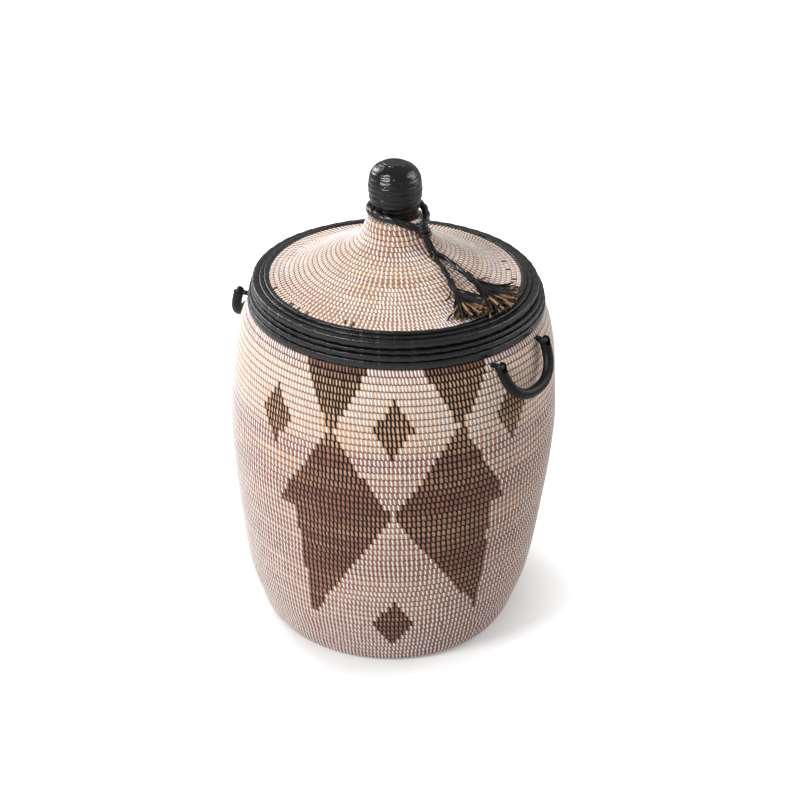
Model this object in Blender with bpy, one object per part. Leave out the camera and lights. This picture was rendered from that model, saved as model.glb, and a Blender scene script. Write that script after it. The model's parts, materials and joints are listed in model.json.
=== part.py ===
"""Lidded seagrass basket, coiled and stitched, with leather rims, two swinging leather handles,
a leather-wound knob on the lid and a leather tassel that hangs from the knob.

Metres, +Z up. The origin is the middle of the base, on the surface that the basket stands on.
The front, where the pattern is, faces -Y. An azimuth is counted from the front towards +X.
"""

import math

import bmesh
import bpy
import numpy as np

# Driving sizes of the body
BELLY_RADIUS = 0.200
WALL_HEIGHT = 0.421
WALL_COIL = 0.0083
BASE_THICKNESS = 0.0081
WALL_ROW_DEPTH = 0.0011

# Driving sizes of the leather rows on the body's rim
RIM_ROW_HEIGHT = 0.0088
RIM_ROW_WIDTH = 0.0084
RIM_ROW_PROUD = 0.0012

# Driving sizes of the lid
LID_INSET = 0.0026
LID_RISE = 0.0745
LID_COIL = 0.0062
LID_ROW_DEPTH = 0.0013
LID_EDGE_ROLL = 0.0092
LID_RIM_ROW = 0.0060
LID_RIM_ROWS = 2
LID_RIM_SLOPE = 26.0
LID_STITCHED_LIFT = 0.0012
NECK_RADIUS = 0.0307
LOCATING_WIDTH = 0.0060
LOCATING_HEIGHT = 0.0120
LOCATING_CLEARANCE = 0.0030

# Driving sizes of the knob
KNOB_RADIUS = 0.0315
KNOB_NECK_RADIUS = 0.0270
KNOB_HEIGHT = 0.0650
KNOB_LEATHER = 0.0015
KNOB_TURN_DEPTH = 0.0009
KNOB_TURNS = 9
PATCH_RADIUS = 0.0125
PATCH_THICKNESS = 0.0016

# Driving sizes of the handles and their laces
HANDLE_HALF_SPAN = 0.0424
HANDLE_DROP = 0.0400
HANDLE_CORE_RADIUS = 0.0040
HANDLE_RADIUS = 0.00575
HANDLE_REST_GAPS = {"right": 0.0110, "left": 0.0030}
HANDLE_REACH = 0.0125
HINGE_BELOW_RIM = 0.0088
EYE_RADIUS = 0.0069
EYE_BAR_RADIUS = 0.0020
EYE_SHOULDER_SHARE = 0.9
LACE_WIDTH = 0.0080
LACE_THICKNESS = 0.0015
LACE_KNOT_RADIUS = 0.0055
HANDLE_AZIMUTHS = {"right": 51.0, "left": -112.0}

# Driving sizes of the tassel
LOOP_CORD_RADIUS = 0.0040
LOOP_CLEARANCE = 0.0004
LOOP_HEIGHT = 0.0083
LOOP_SAG = 0.0105
LOOP_SPREAD = 0.0085
TASSEL_KNOT_RADIUS = 0.0083
KNOT_OUTSET = 0.0126
KNOT_DROP = 0.0067
KNOT_AZIMUTH = 46.0
STRAND_RADIUS = 0.0022
STRAND_SPACING = 0.0005
STRAND_LEAD = 0.0040
STRAND_LEAVING_AZIMUTH = 66.0
STRAND_LEAVING_FALL = 65.0
STRAND_CLEARANCE = 0.0008
BINDING_RADIUS = 0.0036
BINDING_LENGTH = 0.0070
FRINGE_THICKNESS = 0.0014
FRINGE_ROOT_WIDTH = 0.0056
FRINGE_CLEARANCE = 0.0012

# Clearances between pieces that touch
SEAT_GAP = 0.0003
CUT_OVERRUN = 0.0040

# Numbers of facets
ROUND_SEGMENTS = 32
SMALL_SEGMENTS = 18
TUBE_SIDES = 10
CORD_SIDES = 8
SECTION_SIDES = 6

# Outline of the wall: shares of the wall's height and of the belly's radius, from the base up
WALL_OUTLINE_SHARES = (
    (0.0, 0.780),
    (0.012, 0.806),
    (0.08, 0.857),
    (0.155, 0.902),
    (0.235, 0.929),
    (0.39, 0.965),
    (0.53, 0.991),
    (0.645, 1.0),
    (0.77, 0.982),
    (0.87, 0.961),
    (0.915, 0.943),
    (0.95, 0.925),
    (0.98, 0.899),
    (1.0, 0.880),
)

# Leather rows on the body's rim: shares of their full height, and of their width as an inset
RIM_ROW_SHARES = ((1.0, 0.0), (0.77, 0.20), (0.57, 0.55))

# Outline of the lid: shares of the run from the neck to the leather rows, and of the rise
LID_OUTLINE_SHARES = (
    (0.0, 1.0),
    (0.035, 0.848),
    (0.081, 0.703),
    (0.143, 0.577),
    (0.225, 0.482),
    (0.41, 0.345),
    (0.59, 0.200),
    (0.77, 0.074),
    (0.88, 0.026),
    (1.0, 0.0),
)

# Outline of the knob: shares of its height from the lid up, and of its radius
KNOB_OUTLINE_SHARES = (
    (0.16, 0.865),
    (0.27, 0.935),
    (0.42, 0.990),
    (0.56, 1.0),
    (0.70, 0.975),
    (0.83, 0.895),
    (0.93, 0.730),
    (1.0, 0.480),
)

# Routes of the two strands from the knot: share of the lid's run from the neck, and azimuth
STRAND_ROUTE_SHARES = {
    "left": ((0.191, 49.5), (0.258, 49.0), (0.334, 47.0), (0.444, 43.8), (0.530, 41.3)),
    "right": ((0.191, 57.0), (0.258, 60.0), (0.334, 60.3), (0.444, 58.8), (0.551, 58.4)),
}

# Strips of each fringe: direction in degrees from the front, and length as a share of the longest
FRINGE_STRIP_SHARES = {
    "left": ((3.0, 0.93), (9.5, 1.0), (16.0, 0.96), (22.5, 0.98), (29.0, 0.88)),
    "right": ((33.0, 0.90), (43.0, 1.0), (53.0, 0.93), (63.0, 0.86), (75.0, 0.96)),
}
FRINGE_LENGTHS = {"left": 0.050, "right": 0.040}

MATERIALS = {
    "seagrass": ((0.62, 0.47, 0.33), 0.75),
    "seagrass_lid": ((0.66, 0.50, 0.37), 0.75),
    "grass_core": ((0.45, 0.32, 0.18), 0.85),
    "leather_rim": ((0.035, 0.034, 0.037), 0.42),
    "leather_knob": ((0.030, 0.029, 0.031), 0.35),
    "leather_handle": ((0.032, 0.031, 0.034), 0.45),
    "leather_lace": ((0.040, 0.036, 0.034), 0.50),
    "leather_fringe": ((0.060, 0.045, 0.035), 0.55),
}


# Tools


def clear_scene():
    for item in list(bpy.data.objects):
        bpy.data.objects.remove(item)


def make_material(name):
    colour, roughness = MATERIALS[name]
    made = bpy.data.materials.new(name)
    made.use_nodes = True
    shader = made.node_tree.nodes["Principled BSDF"]
    shader.inputs["Base Color"].default_value = (*colour, 1.0)
    shader.inputs["Roughness"].default_value = roughness
    shader.inputs["Metallic"].default_value = 0.0
    made.diffuse_color = (*colour, 1.0)
    return made


def material(name):
    return bpy.data.materials.get(name) or make_material(name)


def add_object(name, mesh, material_name, parent=None):
    made = bpy.data.objects.new(name, mesh)
    bpy.context.scene.collection.objects.link(made)
    made.parent = parent
    if material_name:
        mesh.materials.append(material(material_name))
    return made


def mesh_from_bmesh(name, shape):
    mesh = bpy.data.meshes.new(name)
    shape.to_mesh(mesh)
    shape.free()
    mesh.shade_smooth()
    mesh.set_sharp_from_angle(angle=math.radians(40))
    return mesh


def slopes_through(places, values):
    """Slope at each point of a curve that never overshoots its points."""
    steps = np.diff(values) / np.diff(places)
    slopes = np.zeros(len(values))
    slopes[0] = steps[0]
    slopes[-1] = steps[-1]
    for k in range(1, len(values) - 1):
        if steps[k - 1] * steps[k] > 0:
            slopes[k] = 2 / (1 / steps[k - 1] + 1 / steps[k])
    return slopes


def read_shares(shares, at):
    """Value of the smooth curve through (place, value) shares at the places given."""
    places, values = np.array(shares).T
    slopes = slopes_through(places, values)
    at = np.clip(np.asarray(at, float), places[0], places[-1])
    k = np.clip(np.searchsorted(places, at, side="right") - 1, 0, len(places) - 2)
    width = places[k + 1] - places[k]
    t = (at - places[k]) / width
    start = values[k] * (1 + 2 * t) * (1 - t) ** 2 + slopes[k] * width * t * (1 - t) ** 2
    end = values[k + 1] * t**2 * (3 - 2 * t) + slopes[k + 1] * width * t**2 * (t - 1)
    return start + end


def lathe(name, outline, material_name, closed=True, segments=ROUND_SEGMENTS):
    """Turn an outline about +Z. It runs down its outer side and back up its inner side."""
    count = len(outline)
    points = [(radius, 0, height) for radius, height in outline]
    edges = [(k, (k + 1) % count) for k in range(count if closed else count - 1)]
    mesh = bpy.data.meshes.new(name)
    mesh.from_pydata(points, edges, [])
    made = add_object(name, mesh, material_name)
    screw = made.modifiers.new("turn", "SCREW")
    screw.steps = segments
    screw.render_steps = segments
    screw.use_merge_vertices = True
    screw.merge_threshold = SEAT_GAP / 100
    screw.use_smooth_shade = True
    return made


def rounded_section(middle_radius, middle_height, width, height, roundness=0.62):
    """Closed outline of a coil's cross-section, running down its outer side."""
    turns = np.pi / 2 - 2 * np.pi * (np.arange(SECTION_SIDES) + 0.5) / SECTION_SIDES
    across = np.sign(np.cos(turns)) * np.abs(np.cos(turns)) ** roundness
    up = np.sign(np.sin(turns)) * np.abs(np.sin(turns)) ** roundness
    reach_across = width / 2 / np.abs(across).max()
    reach_up = height / 2 / np.abs(up).max()
    return [
        (middle_radius + reach_across * a, middle_height + reach_up * u)
        for a, u in zip(across, up)
    ]


def unit(vector):
    return vector / np.linalg.norm(vector)


def at_azimuth(radius, azimuth, height=0.0):
    """Point at a radius from the middle, at an azimuth in degrees from the front."""
    turn = math.radians(azimuth)
    return np.array((radius * math.sin(turn), -radius * math.cos(turn), height))


def along(points):
    """Distance along a line of points, one value for each point."""
    return np.concatenate([[0.0], np.cumsum(np.linalg.norm(np.diff(points, axis=0), axis=1))])


def read_columns(places, values, at):
    """Values, one column at a time, at the places given."""
    return np.column_stack([np.interp(at, places, column) for column in values.T])


def read_line(points, distances):
    """Points at the distances given along a line of points."""
    return read_columns(along(points), points, distances)


def smooth_line(points, per_span=12):
    """Catmull-Rom curve through the points, as a dense line."""
    points = np.asarray(points)
    padded = np.vstack([2 * points[0] - points[1], points, 2 * points[-1] - points[-2]])
    t = np.linspace(0, 1, per_span, endpoint=False)[:, None]
    spans = []
    for a, b, c, d in zip(padded, padded[1:], padded[2:], padded[3:]):
        bend = 2 * a - 5 * b + 4 * c - d
        twist = 3 * b - a - 3 * c + d
        spans.append((2 * b + (c - a) * t + bend * t**2 + twist * t**3) / 2)
    return np.vstack([*spans, points[-1]])


def circle(sides):
    turns = 2 * np.pi * np.arange(sides) / sides
    return np.column_stack([np.cos(turns), np.sin(turns)])


def ring_frames(centres, across):
    """Two unit directions square to a line at each of its points."""
    tangents = np.gradient(centres, axis=0)
    tangents /= np.linalg.norm(tangents, axis=1)[:, None]
    sides = across - tangents * (tangents @ across)[:, None]
    sides /= np.linalg.norm(sides, axis=1)[:, None]
    return sides, np.cross(tangents, sides)


def skin(shape, rings, wrap=True):
    """Skin rows of vertices with faces. A vertex that is repeated makes a triangle, or none."""
    for low, high in zip(rings, rings[1:]):
        for k in range(len(low) if wrap else len(low) - 1):
            after = (k + 1) % len(low)
            corners = list(dict.fromkeys((low[k], low[after], high[after], high[k])))
            if len(corners) > 2:
                shape.faces.new(corners)


def add_rings(shape, centres, sections, across):
    sides, ups = ring_frames(centres, across)
    rings = []
    for centre, side, up, section in zip(centres, sides, ups, sections):
        rings.append([shape.verts.new(centre + side * a + up * b) for a, b in section])
    return rings


def sweep(name, centres, sections, across, material_name, parent=None):
    """Solid that carries a changing cross-section along a line."""
    shape = bmesh.new()
    rings = add_rings(shape, centres, sections, across)
    skin(shape, rings)
    shape.faces.new(rings[0])
    shape.faces.new(rings[-1])
    bmesh.ops.recalc_face_normals(shape, faces=shape.faces)
    return add_object(name, mesh_from_bmesh(name, shape), material_name, parent)


def sleeve(name, centres, outer_radius, inner_radius, across, material_name, parent=None):
    """Open tube along a line, with a wall between two radii."""
    shape = bmesh.new()
    ring = circle(TUBE_SIDES)
    outer = add_rings(shape, centres, [ring * outer_radius] * len(centres), across)
    inner = add_rings(shape, centres, [ring * inner_radius] * len(centres), across)
    skin(shape, [*outer, *inner[::-1], outer[0]])
    bmesh.ops.recalc_face_normals(shape, faces=shape.faces)
    return add_object(name, mesh_from_bmesh(name, shape), material_name, parent)


def ball(name, radius, material_name, location, parent=None, sides=10, rows=7):
    shape = bmesh.new()
    bmesh.ops.create_uvsphere(shape, u_segments=sides, v_segments=rows, radius=radius)
    made = add_object(name, mesh_from_bmesh(name, shape), material_name, parent)
    made.location = location
    return made


def prism_along_x(name, outline, half_length, material_name=None, parent=None):
    """Solid with a flat outline in Y and Z, extruded both ways along X."""
    shape = bmesh.new()
    start = [shape.verts.new((-half_length, y, z)) for y, z in outline]
    face = shape.faces.new(start)
    grown = bmesh.ops.extrude_face_region(shape, geom=[face])
    moved = [item for item in grown["geom"] if isinstance(item, bmesh.types.BMVert)]
    bmesh.ops.translate(shape, verts=moved, vec=(2 * half_length, 0, 0))
    bmesh.ops.recalc_face_normals(shape, faces=shape.faces)
    return add_object(name, mesh_from_bmesh(name, shape), material_name, parent)


def helper(made):
    """Mark a cutter or a joined-on shape, which isn't a piece by itself."""
    made.hide_render = True
    made.display_type = "WIRE"
    return made


def combine(target, operand, operation):
    step = target.modifiers.new(operation.lower(), "BOOLEAN")
    step.operation = operation
    step.solver = "EXACT"
    step.object = helper(operand)


def empty(name, location, azimuth=0.0):
    made = bpy.data.objects.new(name, None)
    bpy.context.scene.collection.objects.link(made)
    made.location = location
    made.rotation_euler = (0, 0, math.radians(azimuth))
    return made


# Coiled grass


def outward_directions(line):
    """Unit directions square to an outline that runs down its outer side."""
    slopes = np.gradient(line, axis=0)
    outwards = np.column_stack([-slopes[:, 1], slopes[:, 0]])
    return outwards / np.linalg.norm(outwards, axis=1)[:, None]


def spiral_column(line, rows, depth, turn_share):
    """Points down one column of a coil that moves on along its outline by one row in each turn.

    At a share t of the turn the grooves lie at (k + t) rows and the crests halfway between them.
    Points beyond the outline's ends fall on the ends, and the grooves fade out towards them.
    """
    places = along(line)
    row = places[-1] / rows
    steps = np.clip((np.arange(2 * rows + 3) / 2 - 1 + turn_share) * row, 0, places[-1])
    fade = np.clip(np.minimum(steps, places[-1] - steps) / row, 0, 1)
    groove = depth * fade * (np.arange(len(steps)) % 2 == 0)
    inwards = -read_columns(places, outward_directions(line), steps)
    return read_line(line, steps) + inwards * groove[:, None]


def column_vertices(shape, points, turn):
    """One vertex for each point of a column. Points on the same spot share a vertex."""
    made = []
    for k, (radius, height) in enumerate(points):
        if k and np.array_equal(points[k], points[k - 1]):
            made.append(made[-1])
        else:
            made.append(shape.verts.new((radius * math.cos(turn), radius * math.sin(turn), height)))
    return made


def ring_vertices(shape, radius, height, turns):
    if radius == 0:
        return [shape.verts.new((0, 0, height))] * len(turns)
    return [shape.verts.new((radius * math.cos(t), radius * math.sin(t), height)) for t in turns]


def coiled_shell(name, line, rows, depth, back, material_name):
    """Turned shell whose outer side is one long row, wound in a spiral, and whose back is plain."""
    shape = bmesh.new()
    turns = 2 * np.pi * np.arange(ROUND_SEGMENTS) / ROUND_SEGMENTS
    columns = []
    for turn in turns:
        points = spiral_column(line, rows, depth, turn / (2 * math.pi))
        columns.append(column_vertices(shape, points, turn))
    one_row_on = columns[0][2:] + columns[0][-1:] * 2
    skin(shape, [*columns, one_row_on], wrap=False)
    rings = [ring_vertices(shape, radius, height, turns) for radius, height in back]
    first = [column[0] for column in columns]
    last = [column[-1] for column in columns]
    skin(shape, [last, *rings, first])
    bmesh.ops.recalc_face_normals(shape, faces=shape.faces)
    return add_object(name, mesh_from_bmesh(name, shape), material_name)


# Body: base, wall and rim


def wall_radius(height):
    """Outer radius of the wall at a height above the base."""
    return BELLY_RADIUS * read_shares(WALL_OUTLINE_SHARES, np.asarray(height) / WALL_HEIGHT)


def wall_line():
    """Dense outline down the wall's outer side."""
    heights = np.linspace(WALL_HEIGHT, 0, 800)
    return np.column_stack([wall_radius(heights), heights])


def wall_inner_radius(height):
    """Inner radius of the wall, one coil inside the outer side."""
    heights = np.linspace(0, WALL_HEIGHT, 200)
    radii = wall_radius(heights)
    slope = np.gradient(radii, heights)
    inner = radii - WALL_COIL * np.sqrt(1 + slope**2)
    return float(np.interp(height, heights, inner))


def make_wall():
    line = wall_line()
    rows = round(along(line)[-1] / WALL_COIL)
    heights = WALL_HEIGHT * np.array(WALL_OUTLINE_SHARES)[::2, 0]
    heights = np.append(heights, WALL_HEIGHT)
    inner = [(wall_inner_radius(height), height) for height in heights]
    return coiled_shell("wall_coil", line, rows, WALL_ROW_DEPTH, inner, "seagrass")


def make_base():
    radius = min(wall_inner_radius(0), wall_inner_radius(BASE_THICKNESS)) - SEAT_GAP
    outline = [(0, BASE_THICKNESS), (radius, BASE_THICKNESS), (radius, 0), (0, 0)]
    return lathe("base_coil", outline, "seagrass", closed=False)


def rim_rows():
    """Foot, height and outer radius of each leather row, from the wall up."""
    foot = WALL_HEIGHT + SEAT_GAP
    rows = []
    for height_share, inset_share in RIM_ROW_SHARES:
        height = RIM_ROW_HEIGHT * height_share
        outer = float(wall_radius(WALL_HEIGHT)) + RIM_ROW_PROUD - RIM_ROW_WIDTH * inset_share
        rows.append((foot, height, outer))
        foot += height + SEAT_GAP
    return rows


def mouth_radius():
    return rim_rows()[-1][2] - RIM_ROW_WIDTH


def make_body_rim():
    for number, (foot, height, outer) in enumerate(rim_rows(), 1):
        section = rounded_section(outer - RIM_ROW_WIDTH / 2, foot + height / 2, RIM_ROW_WIDTH, height)
        lathe(f"body_rim_coil_{number}", section, "leather_rim")


# Lid: coil, leather rows and locating ring


def lid_seat():
    """Height of the lid's underside, just above the body's rim."""
    foot, height, _ = rim_rows()[-1]
    return foot + height + SEAT_GAP


def lid_rim_rows():
    """Middle radius, middle height and thickness of the lid's leather rows, inwards and up."""
    slope = math.radians(LID_RIM_SLOPE)
    radius = rim_rows()[-1][2] - LID_INSET - LID_EDGE_ROLL / 2
    rows = [(radius, lid_seat() + LID_EDGE_ROLL / 2, LID_EDGE_ROLL)]
    for _ in range(LID_RIM_ROWS):
        radius, height, thickness = rows[-1]
        step = thickness / 2 + SEAT_GAP + LID_RIM_ROW / 2
        rows.append((radius - step * math.cos(slope), height + step * math.sin(slope), LID_RIM_ROW))
    return rows


def lid_coil_radius():
    """Outer radius of the stitched part of the lid, inside its leather rows."""
    return lid_rim_rows()[-1][0] - LID_RIM_ROW / 2 - SEAT_GAP


def lid_edge_height():
    """Height of the stitched part's top where it meets the leather rows."""
    return lid_rim_rows()[-1][1] + LID_STITCHED_LIFT


def lid_run():
    return lid_coil_radius() - NECK_RADIUS


def lid_top(radius):
    """Height of the lid's stitched top at a radius from the middle."""
    share = (np.asarray(radius) - NECK_RADIUS) / lid_run()
    return lid_edge_height() + LID_RISE * read_shares(LID_OUTLINE_SHARES, share)


def lid_line():
    """Dense outline down the lid's top, from its neck to the leather rows."""
    radii = np.linspace(NECK_RADIUS, lid_coil_radius(), 600)
    return np.column_stack([radii, lid_top(radii)])


def above_lid(share, azimuth, height):
    """Point at a height square above the lid's top, at a share of its run and an azimuth."""
    radius = NECK_RADIUS + share * lid_run()
    step = lid_run() / 50
    slope = float(lid_top(radius + step) - lid_top(radius - step)) / (2 * step)
    out, up = unit(np.array((-slope, 1.0))) * height
    return at_azimuth(radius + out, azimuth, float(lid_top(radius)) + up)


def make_lid_coil():
    line = lid_line()
    length = along(line)[-1]
    rows = round(length / LID_COIL)
    under = line - outward_directions(line) * LID_COIL
    underside = read_columns(along(line), under, np.linspace(length, 0, 8)[1:-1])
    peak = line[0][1]
    edge_under = (lid_coil_radius(), line[-1][1] - LID_COIL)
    roof = (NECK_RADIUS - LID_COIL, peak - LID_COIL)
    back = [edge_under, *underside, roof, (0, peak - LID_COIL), (0, peak)]
    coiled_shell("lid_coil", line, rows, LID_ROW_DEPTH, back, "seagrass_lid")


def make_lid_rim():
    for number, (radius, height, thickness) in enumerate(lid_rim_rows(), 1):
        section = rounded_section(radius, height, thickness, thickness)
        lathe(f"lid_rim_coil_{number}", section, "leather_rim")


def make_locating_ring():
    middle_radius = mouth_radius() - LOCATING_CLEARANCE - LOCATING_WIDTH / 2
    _, height, thickness = lid_rim_rows()[1]
    middle = height - thickness / 2 - SEAT_GAP - LOCATING_HEIGHT / 2
    section = rounded_section(middle_radius, middle, LOCATING_WIDTH, LOCATING_HEIGHT)
    lathe("lid_locating_ring", section, "seagrass_lid")


# Knob


def knob_foot():
    return lid_edge_height() + LID_RISE + SEAT_GAP


def knob_radius(share):
    """Radius of the knob's leather at a share of its height, narrowing to its neck below."""
    radius = KNOB_RADIUS * read_shares(KNOB_OUTLINE_SHARES, share)
    lowest = KNOB_RADIUS * KNOB_OUTLINE_SHARES[0][1]
    return radius - (lowest - KNOB_NECK_RADIUS) * (np.asarray(share) <= KNOB_OUTLINE_SHARES[0][0])


def knob_leather_outline():
    """Outer side of the wound leather, top to bottom: one ridge for each turn of the strip."""
    body = KNOB_HEIGHT - PATCH_THICKNESS
    shares = np.linspace(KNOB_OUTLINE_SHARES[-1][0], 0, 2 * KNOB_TURNS + 1)
    valleys = np.arange(len(shares)) % 2 == 0
    radii = knob_radius(shares) - KNOB_TURN_DEPTH * valleys
    return [(radius, knob_foot() + share * body) for radius, share in zip(radii, shares)]


def make_knob():
    outer = knob_leather_outline()
    top = outer[0][1]
    hollow_top = top - KNOB_LEATHER
    shares = (0, 0.3, 0.6, 0.86)
    body = hollow_top - knob_foot()
    thickness = KNOB_LEATHER + KNOB_TURN_DEPTH
    hollow = [(float(knob_radius(share)) - thickness, knob_foot() + share * body) for share in shares]
    roof_radius = outer[0][0] - KNOB_LEATHER
    hollow.append((roof_radius, hollow_top))
    cover = [(0, top), *outer, *hollow, (0, hollow_top)]
    lathe("knob_cover", cover, "leather_knob", closed=False, segments=SMALL_SEGMENTS)
    core = [(0, hollow_top - SEAT_GAP)]
    core += [(radius - SEAT_GAP, height - SEAT_GAP) for radius, height in hollow[:0:-1]]
    core += [(hollow[0][0] - SEAT_GAP, knob_foot()), (0, knob_foot())]
    lathe("knob_core", core, "grass_core", closed=False, segments=SMALL_SEGMENTS)
    foot = top + SEAT_GAP
    edge_top = foot + PATCH_THICKNESS / 2
    patch_top = foot + PATCH_THICKNESS
    patch = [(0, patch_top), (PATCH_RADIUS * 0.8, patch_top), (PATCH_RADIUS, edge_top)]
    patch += [(PATCH_RADIUS, foot), (0, foot)]
    lathe("knob_top_patch", patch, "leather_knob", closed=False, segments=SMALL_SEGMENTS)


# Handles and the laces that hold them


def hinge_height():
    return WALL_HEIGHT - HINGE_BELOW_RIM


def wall_face(height, across, inner=False):
    """Distance from the middle, square to the handle, of the wall's face at a place across it."""
    radius = wall_inner_radius(height) if inner else float(wall_radius(height))
    return math.sqrt(radius**2 - across**2)


def hinge_reach():
    """Distance of the hinge line from the basket's middle."""
    return wall_face(hinge_height(), HANDLE_HALF_SPAN) + HANDLE_REACH


def handle_slant(side):
    """How far the hanging handle's bottom lies further out than its hinge line."""
    bottom = hinge_height() - HANDLE_DROP
    widest = float(wall_radius(bottom + HANDLE_RADIUS))
    return widest + HANDLE_REST_GAPS[side] + HANDLE_RADIUS - hinge_reach()


def facet_sag(radius, segments=ROUND_SEGMENTS):
    return radius * (1 - math.cos(math.pi / segments))


def handle_line(side):
    """Centreline of the U from eye to eye, from the hinge: a superellipse in a slanting plane."""
    power = 2 / 2.35
    turns = np.linspace(0, np.pi, 181)
    across = -HANDLE_HALF_SPAN * np.sign(np.cos(turns)) * np.abs(np.cos(turns)) ** power
    drop = np.abs(np.sin(turns)) ** power
    return np.column_stack([across, -handle_slant(side) * drop, -HANDLE_DROP * drop])


def handle_steps(side):
    """Distances along the U between its two eyes, shared by the rope and its leather sleeve."""
    length = along(handle_line(side))[-1]
    margin = EYE_RADIUS + 2 * SEAT_GAP
    return np.linspace(margin, length - margin, 15)


def handle_plane_normal(side):
    return unit(np.array((0, HANDLE_DROP, -handle_slant(side))))


def make_handle_core(side, hinge):
    """Rope of the handle: a ball at each end, cut into an eye round a cross bar."""
    line = handle_line(side)
    length = along(line)[-1]
    bulge = math.sqrt(EYE_RADIUS**2 - HANDLE_CORE_RADIUS**2)
    near = np.array((-0.96, -0.65, 0, 0.5)) * EYE_RADIUS
    near = np.append(near, bulge)
    steps = np.concatenate([near, handle_steps(side), length - near[::-1]])
    outside = np.minimum(steps, 0) + np.maximum(steps - length, 0)
    centres = read_line(line, np.clip(steps, 0, length))
    down = unit(np.array((0, -handle_slant(side), -HANDLE_DROP)))
    centres += down * np.where(steps < 0, outside, -outside)[:, None]
    from_end = np.minimum(np.abs(steps), np.abs(length - steps))
    swell = np.sqrt(np.maximum(EYE_RADIUS**2 - from_end**2, 0))
    radii = np.maximum(swell, np.where(outside == 0, HANDLE_CORE_RADIUS, 0))
    sections = [circle(TUBE_SIDES) * radius for radius in radii]
    normal = handle_plane_normal(side)
    core = sweep(f"{side}_handle_core", centres, sections, normal, "leather_handle", hinge)
    for place in (-HANDLE_HALF_SPAN, HANDLE_HALF_SPAN):
        combine(core, eye_cutter(f"{side}_eye_cut", place, hinge), "DIFFERENCE")
    for place in (-HANDLE_HALF_SPAN, HANDLE_HALF_SPAN):
        combine(core, eye_bar(f"{side}_eye_bar", place, hinge), "UNION")
    return core


def lace_inner_radius():
    return EYE_BAR_RADIUS + SEAT_GAP


def eye_clear_radius():
    return lace_inner_radius() + LACE_THICKNESS + SEAT_GAP


def eye_cutter(name, place, hinge):
    """Space that the lace needs inside an eye as the handle turns: a round with an open top."""
    clear = eye_clear_radius()
    shoulder = clear * EYE_SHOULDER_SHARE
    reach = EYE_RADIUS + CUT_OVERRUN
    half_flat = math.sqrt(clear**2 - shoulder**2)
    start = math.atan2(-shoulder, half_flat)
    turns = np.linspace(start, -math.pi - start, 9)
    outline = [(reach, reach), (reach, -shoulder)]
    outline += [(clear * math.cos(turn), clear * math.sin(turn)) for turn in turns]
    outline += [(-reach, -shoulder), (-reach, reach)]
    made = prism_along_x(name, outline, LACE_WIDTH / 2 + SEAT_GAP, parent=hinge)
    made.location = (place, 0, 0)
    return made


def eye_bar(name, place, hinge):
    half_length = (EYE_RADIUS + LACE_WIDTH / 2) / 2 + SEAT_GAP
    outline = circle(CORD_SIDES) * EYE_BAR_RADIUS
    made = prism_along_x(name, outline, half_length, parent=hinge)
    made.location = (place, 0, 0)
    return made


def make_handle_grip(side, hinge):
    """Leather sleeve round the rope, between the two eyes."""
    centres = read_line(handle_line(side), handle_steps(side))
    bore = HANDLE_CORE_RADIUS + SEAT_GAP
    normal = handle_plane_normal(side)
    name = f"{side}_handle_grip"
    return sleeve(name, centres, HANDLE_RADIUS, bore, normal, "leather_handle", hinge)


def lace_line(tail):
    """Centreline of a lace in Y and Z: out of the wall, round the eye's bar, and back."""
    near = lace_inner_radius() + LACE_THICKNESS / 2
    together = LACE_THICKNESS / 2 + SEAT_GAP / 2
    spread = HANDLE_REACH / 2
    run = np.array((tail, spread, spread * 0.72, spread * 0.45, spread * 0.2))
    ease = 0.5 + 0.5 * np.cos(np.pi * np.minimum(run / spread, 1))
    gap = together + (near - together) * ease
    turns = np.linspace(np.pi / 2, 1.5 * np.pi, 9)
    bend = [(near * math.cos(turn), near * math.sin(turn)) for turn in turns]
    inward = np.column_stack([run, gap])
    outward = np.column_stack([run[::-1], -gap[::-1]])
    return np.vstack([inward, bend, outward])


def lace_knot_place():
    """Distance inwards from the hinge line of the knot behind the wall."""
    height = hinge_height()
    face = wall_face(height, HANDLE_HALF_SPAN, inner=True)
    step = WALL_COIL
    above = wall_face(height + step, HANDLE_HALF_SPAN, inner=True)
    rise_slope = (face - above) / step
    side_slope = HANDLE_HALF_SPAN / face
    tilt = math.sqrt(1 + rise_slope**2 + side_slope**2)
    sag = facet_sag(face)
    return hinge_reach() - face + (LACE_KNOT_RADIUS + SEAT_GAP) * tilt + sag


def make_lace(side, end, place, hinge):
    """Strap that holds one eye to the wall, with its knot inside the basket."""
    knot_place = lace_knot_place()
    flat = lace_line(knot_place)
    centres = np.column_stack([np.zeros(len(flat)), flat])
    half_width = LACE_WIDTH / 2
    half_thickness = LACE_THICKNESS / 2
    corner = [(-half_width, -half_thickness), (half_width, -half_thickness)]
    corner += [(half_width, half_thickness), (-half_width, half_thickness)]
    sections = [np.array(corner)] * len(centres)
    across = np.array((1.0, 0, 0))
    name = f"{side}_handle_lace_{end}"
    lace = sweep(name, centres, sections, across, "leather_lace", hinge)
    lace.location = (place, 0, 0)
    knot = ball(f"{name}_knot", LACE_KNOT_RADIUS, None, (place, knot_place, 0), hinge)
    combine(lace, knot, "UNION")
    return lace


def cut_lace_slot(wall, side, end, place, hinge):
    """Slot between the rows of the wall, where a lace goes through."""
    half_height = LACE_THICKNESS + SEAT_GAP / 2 + SEAT_GAP
    near = HANDLE_REACH / 2
    far = lace_knot_place() + LACE_KNOT_RADIUS
    outline = [(near, -half_height), (near, half_height), (far, half_height), (far, -half_height)]
    name = f"{side}_slot_{end}"
    cutter = prism_along_x(name, outline, LACE_WIDTH / 2 + SEAT_GAP, parent=hinge)
    cutter.location = (place, 0, 0)
    combine(wall, cutter, "DIFFERENCE")


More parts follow.
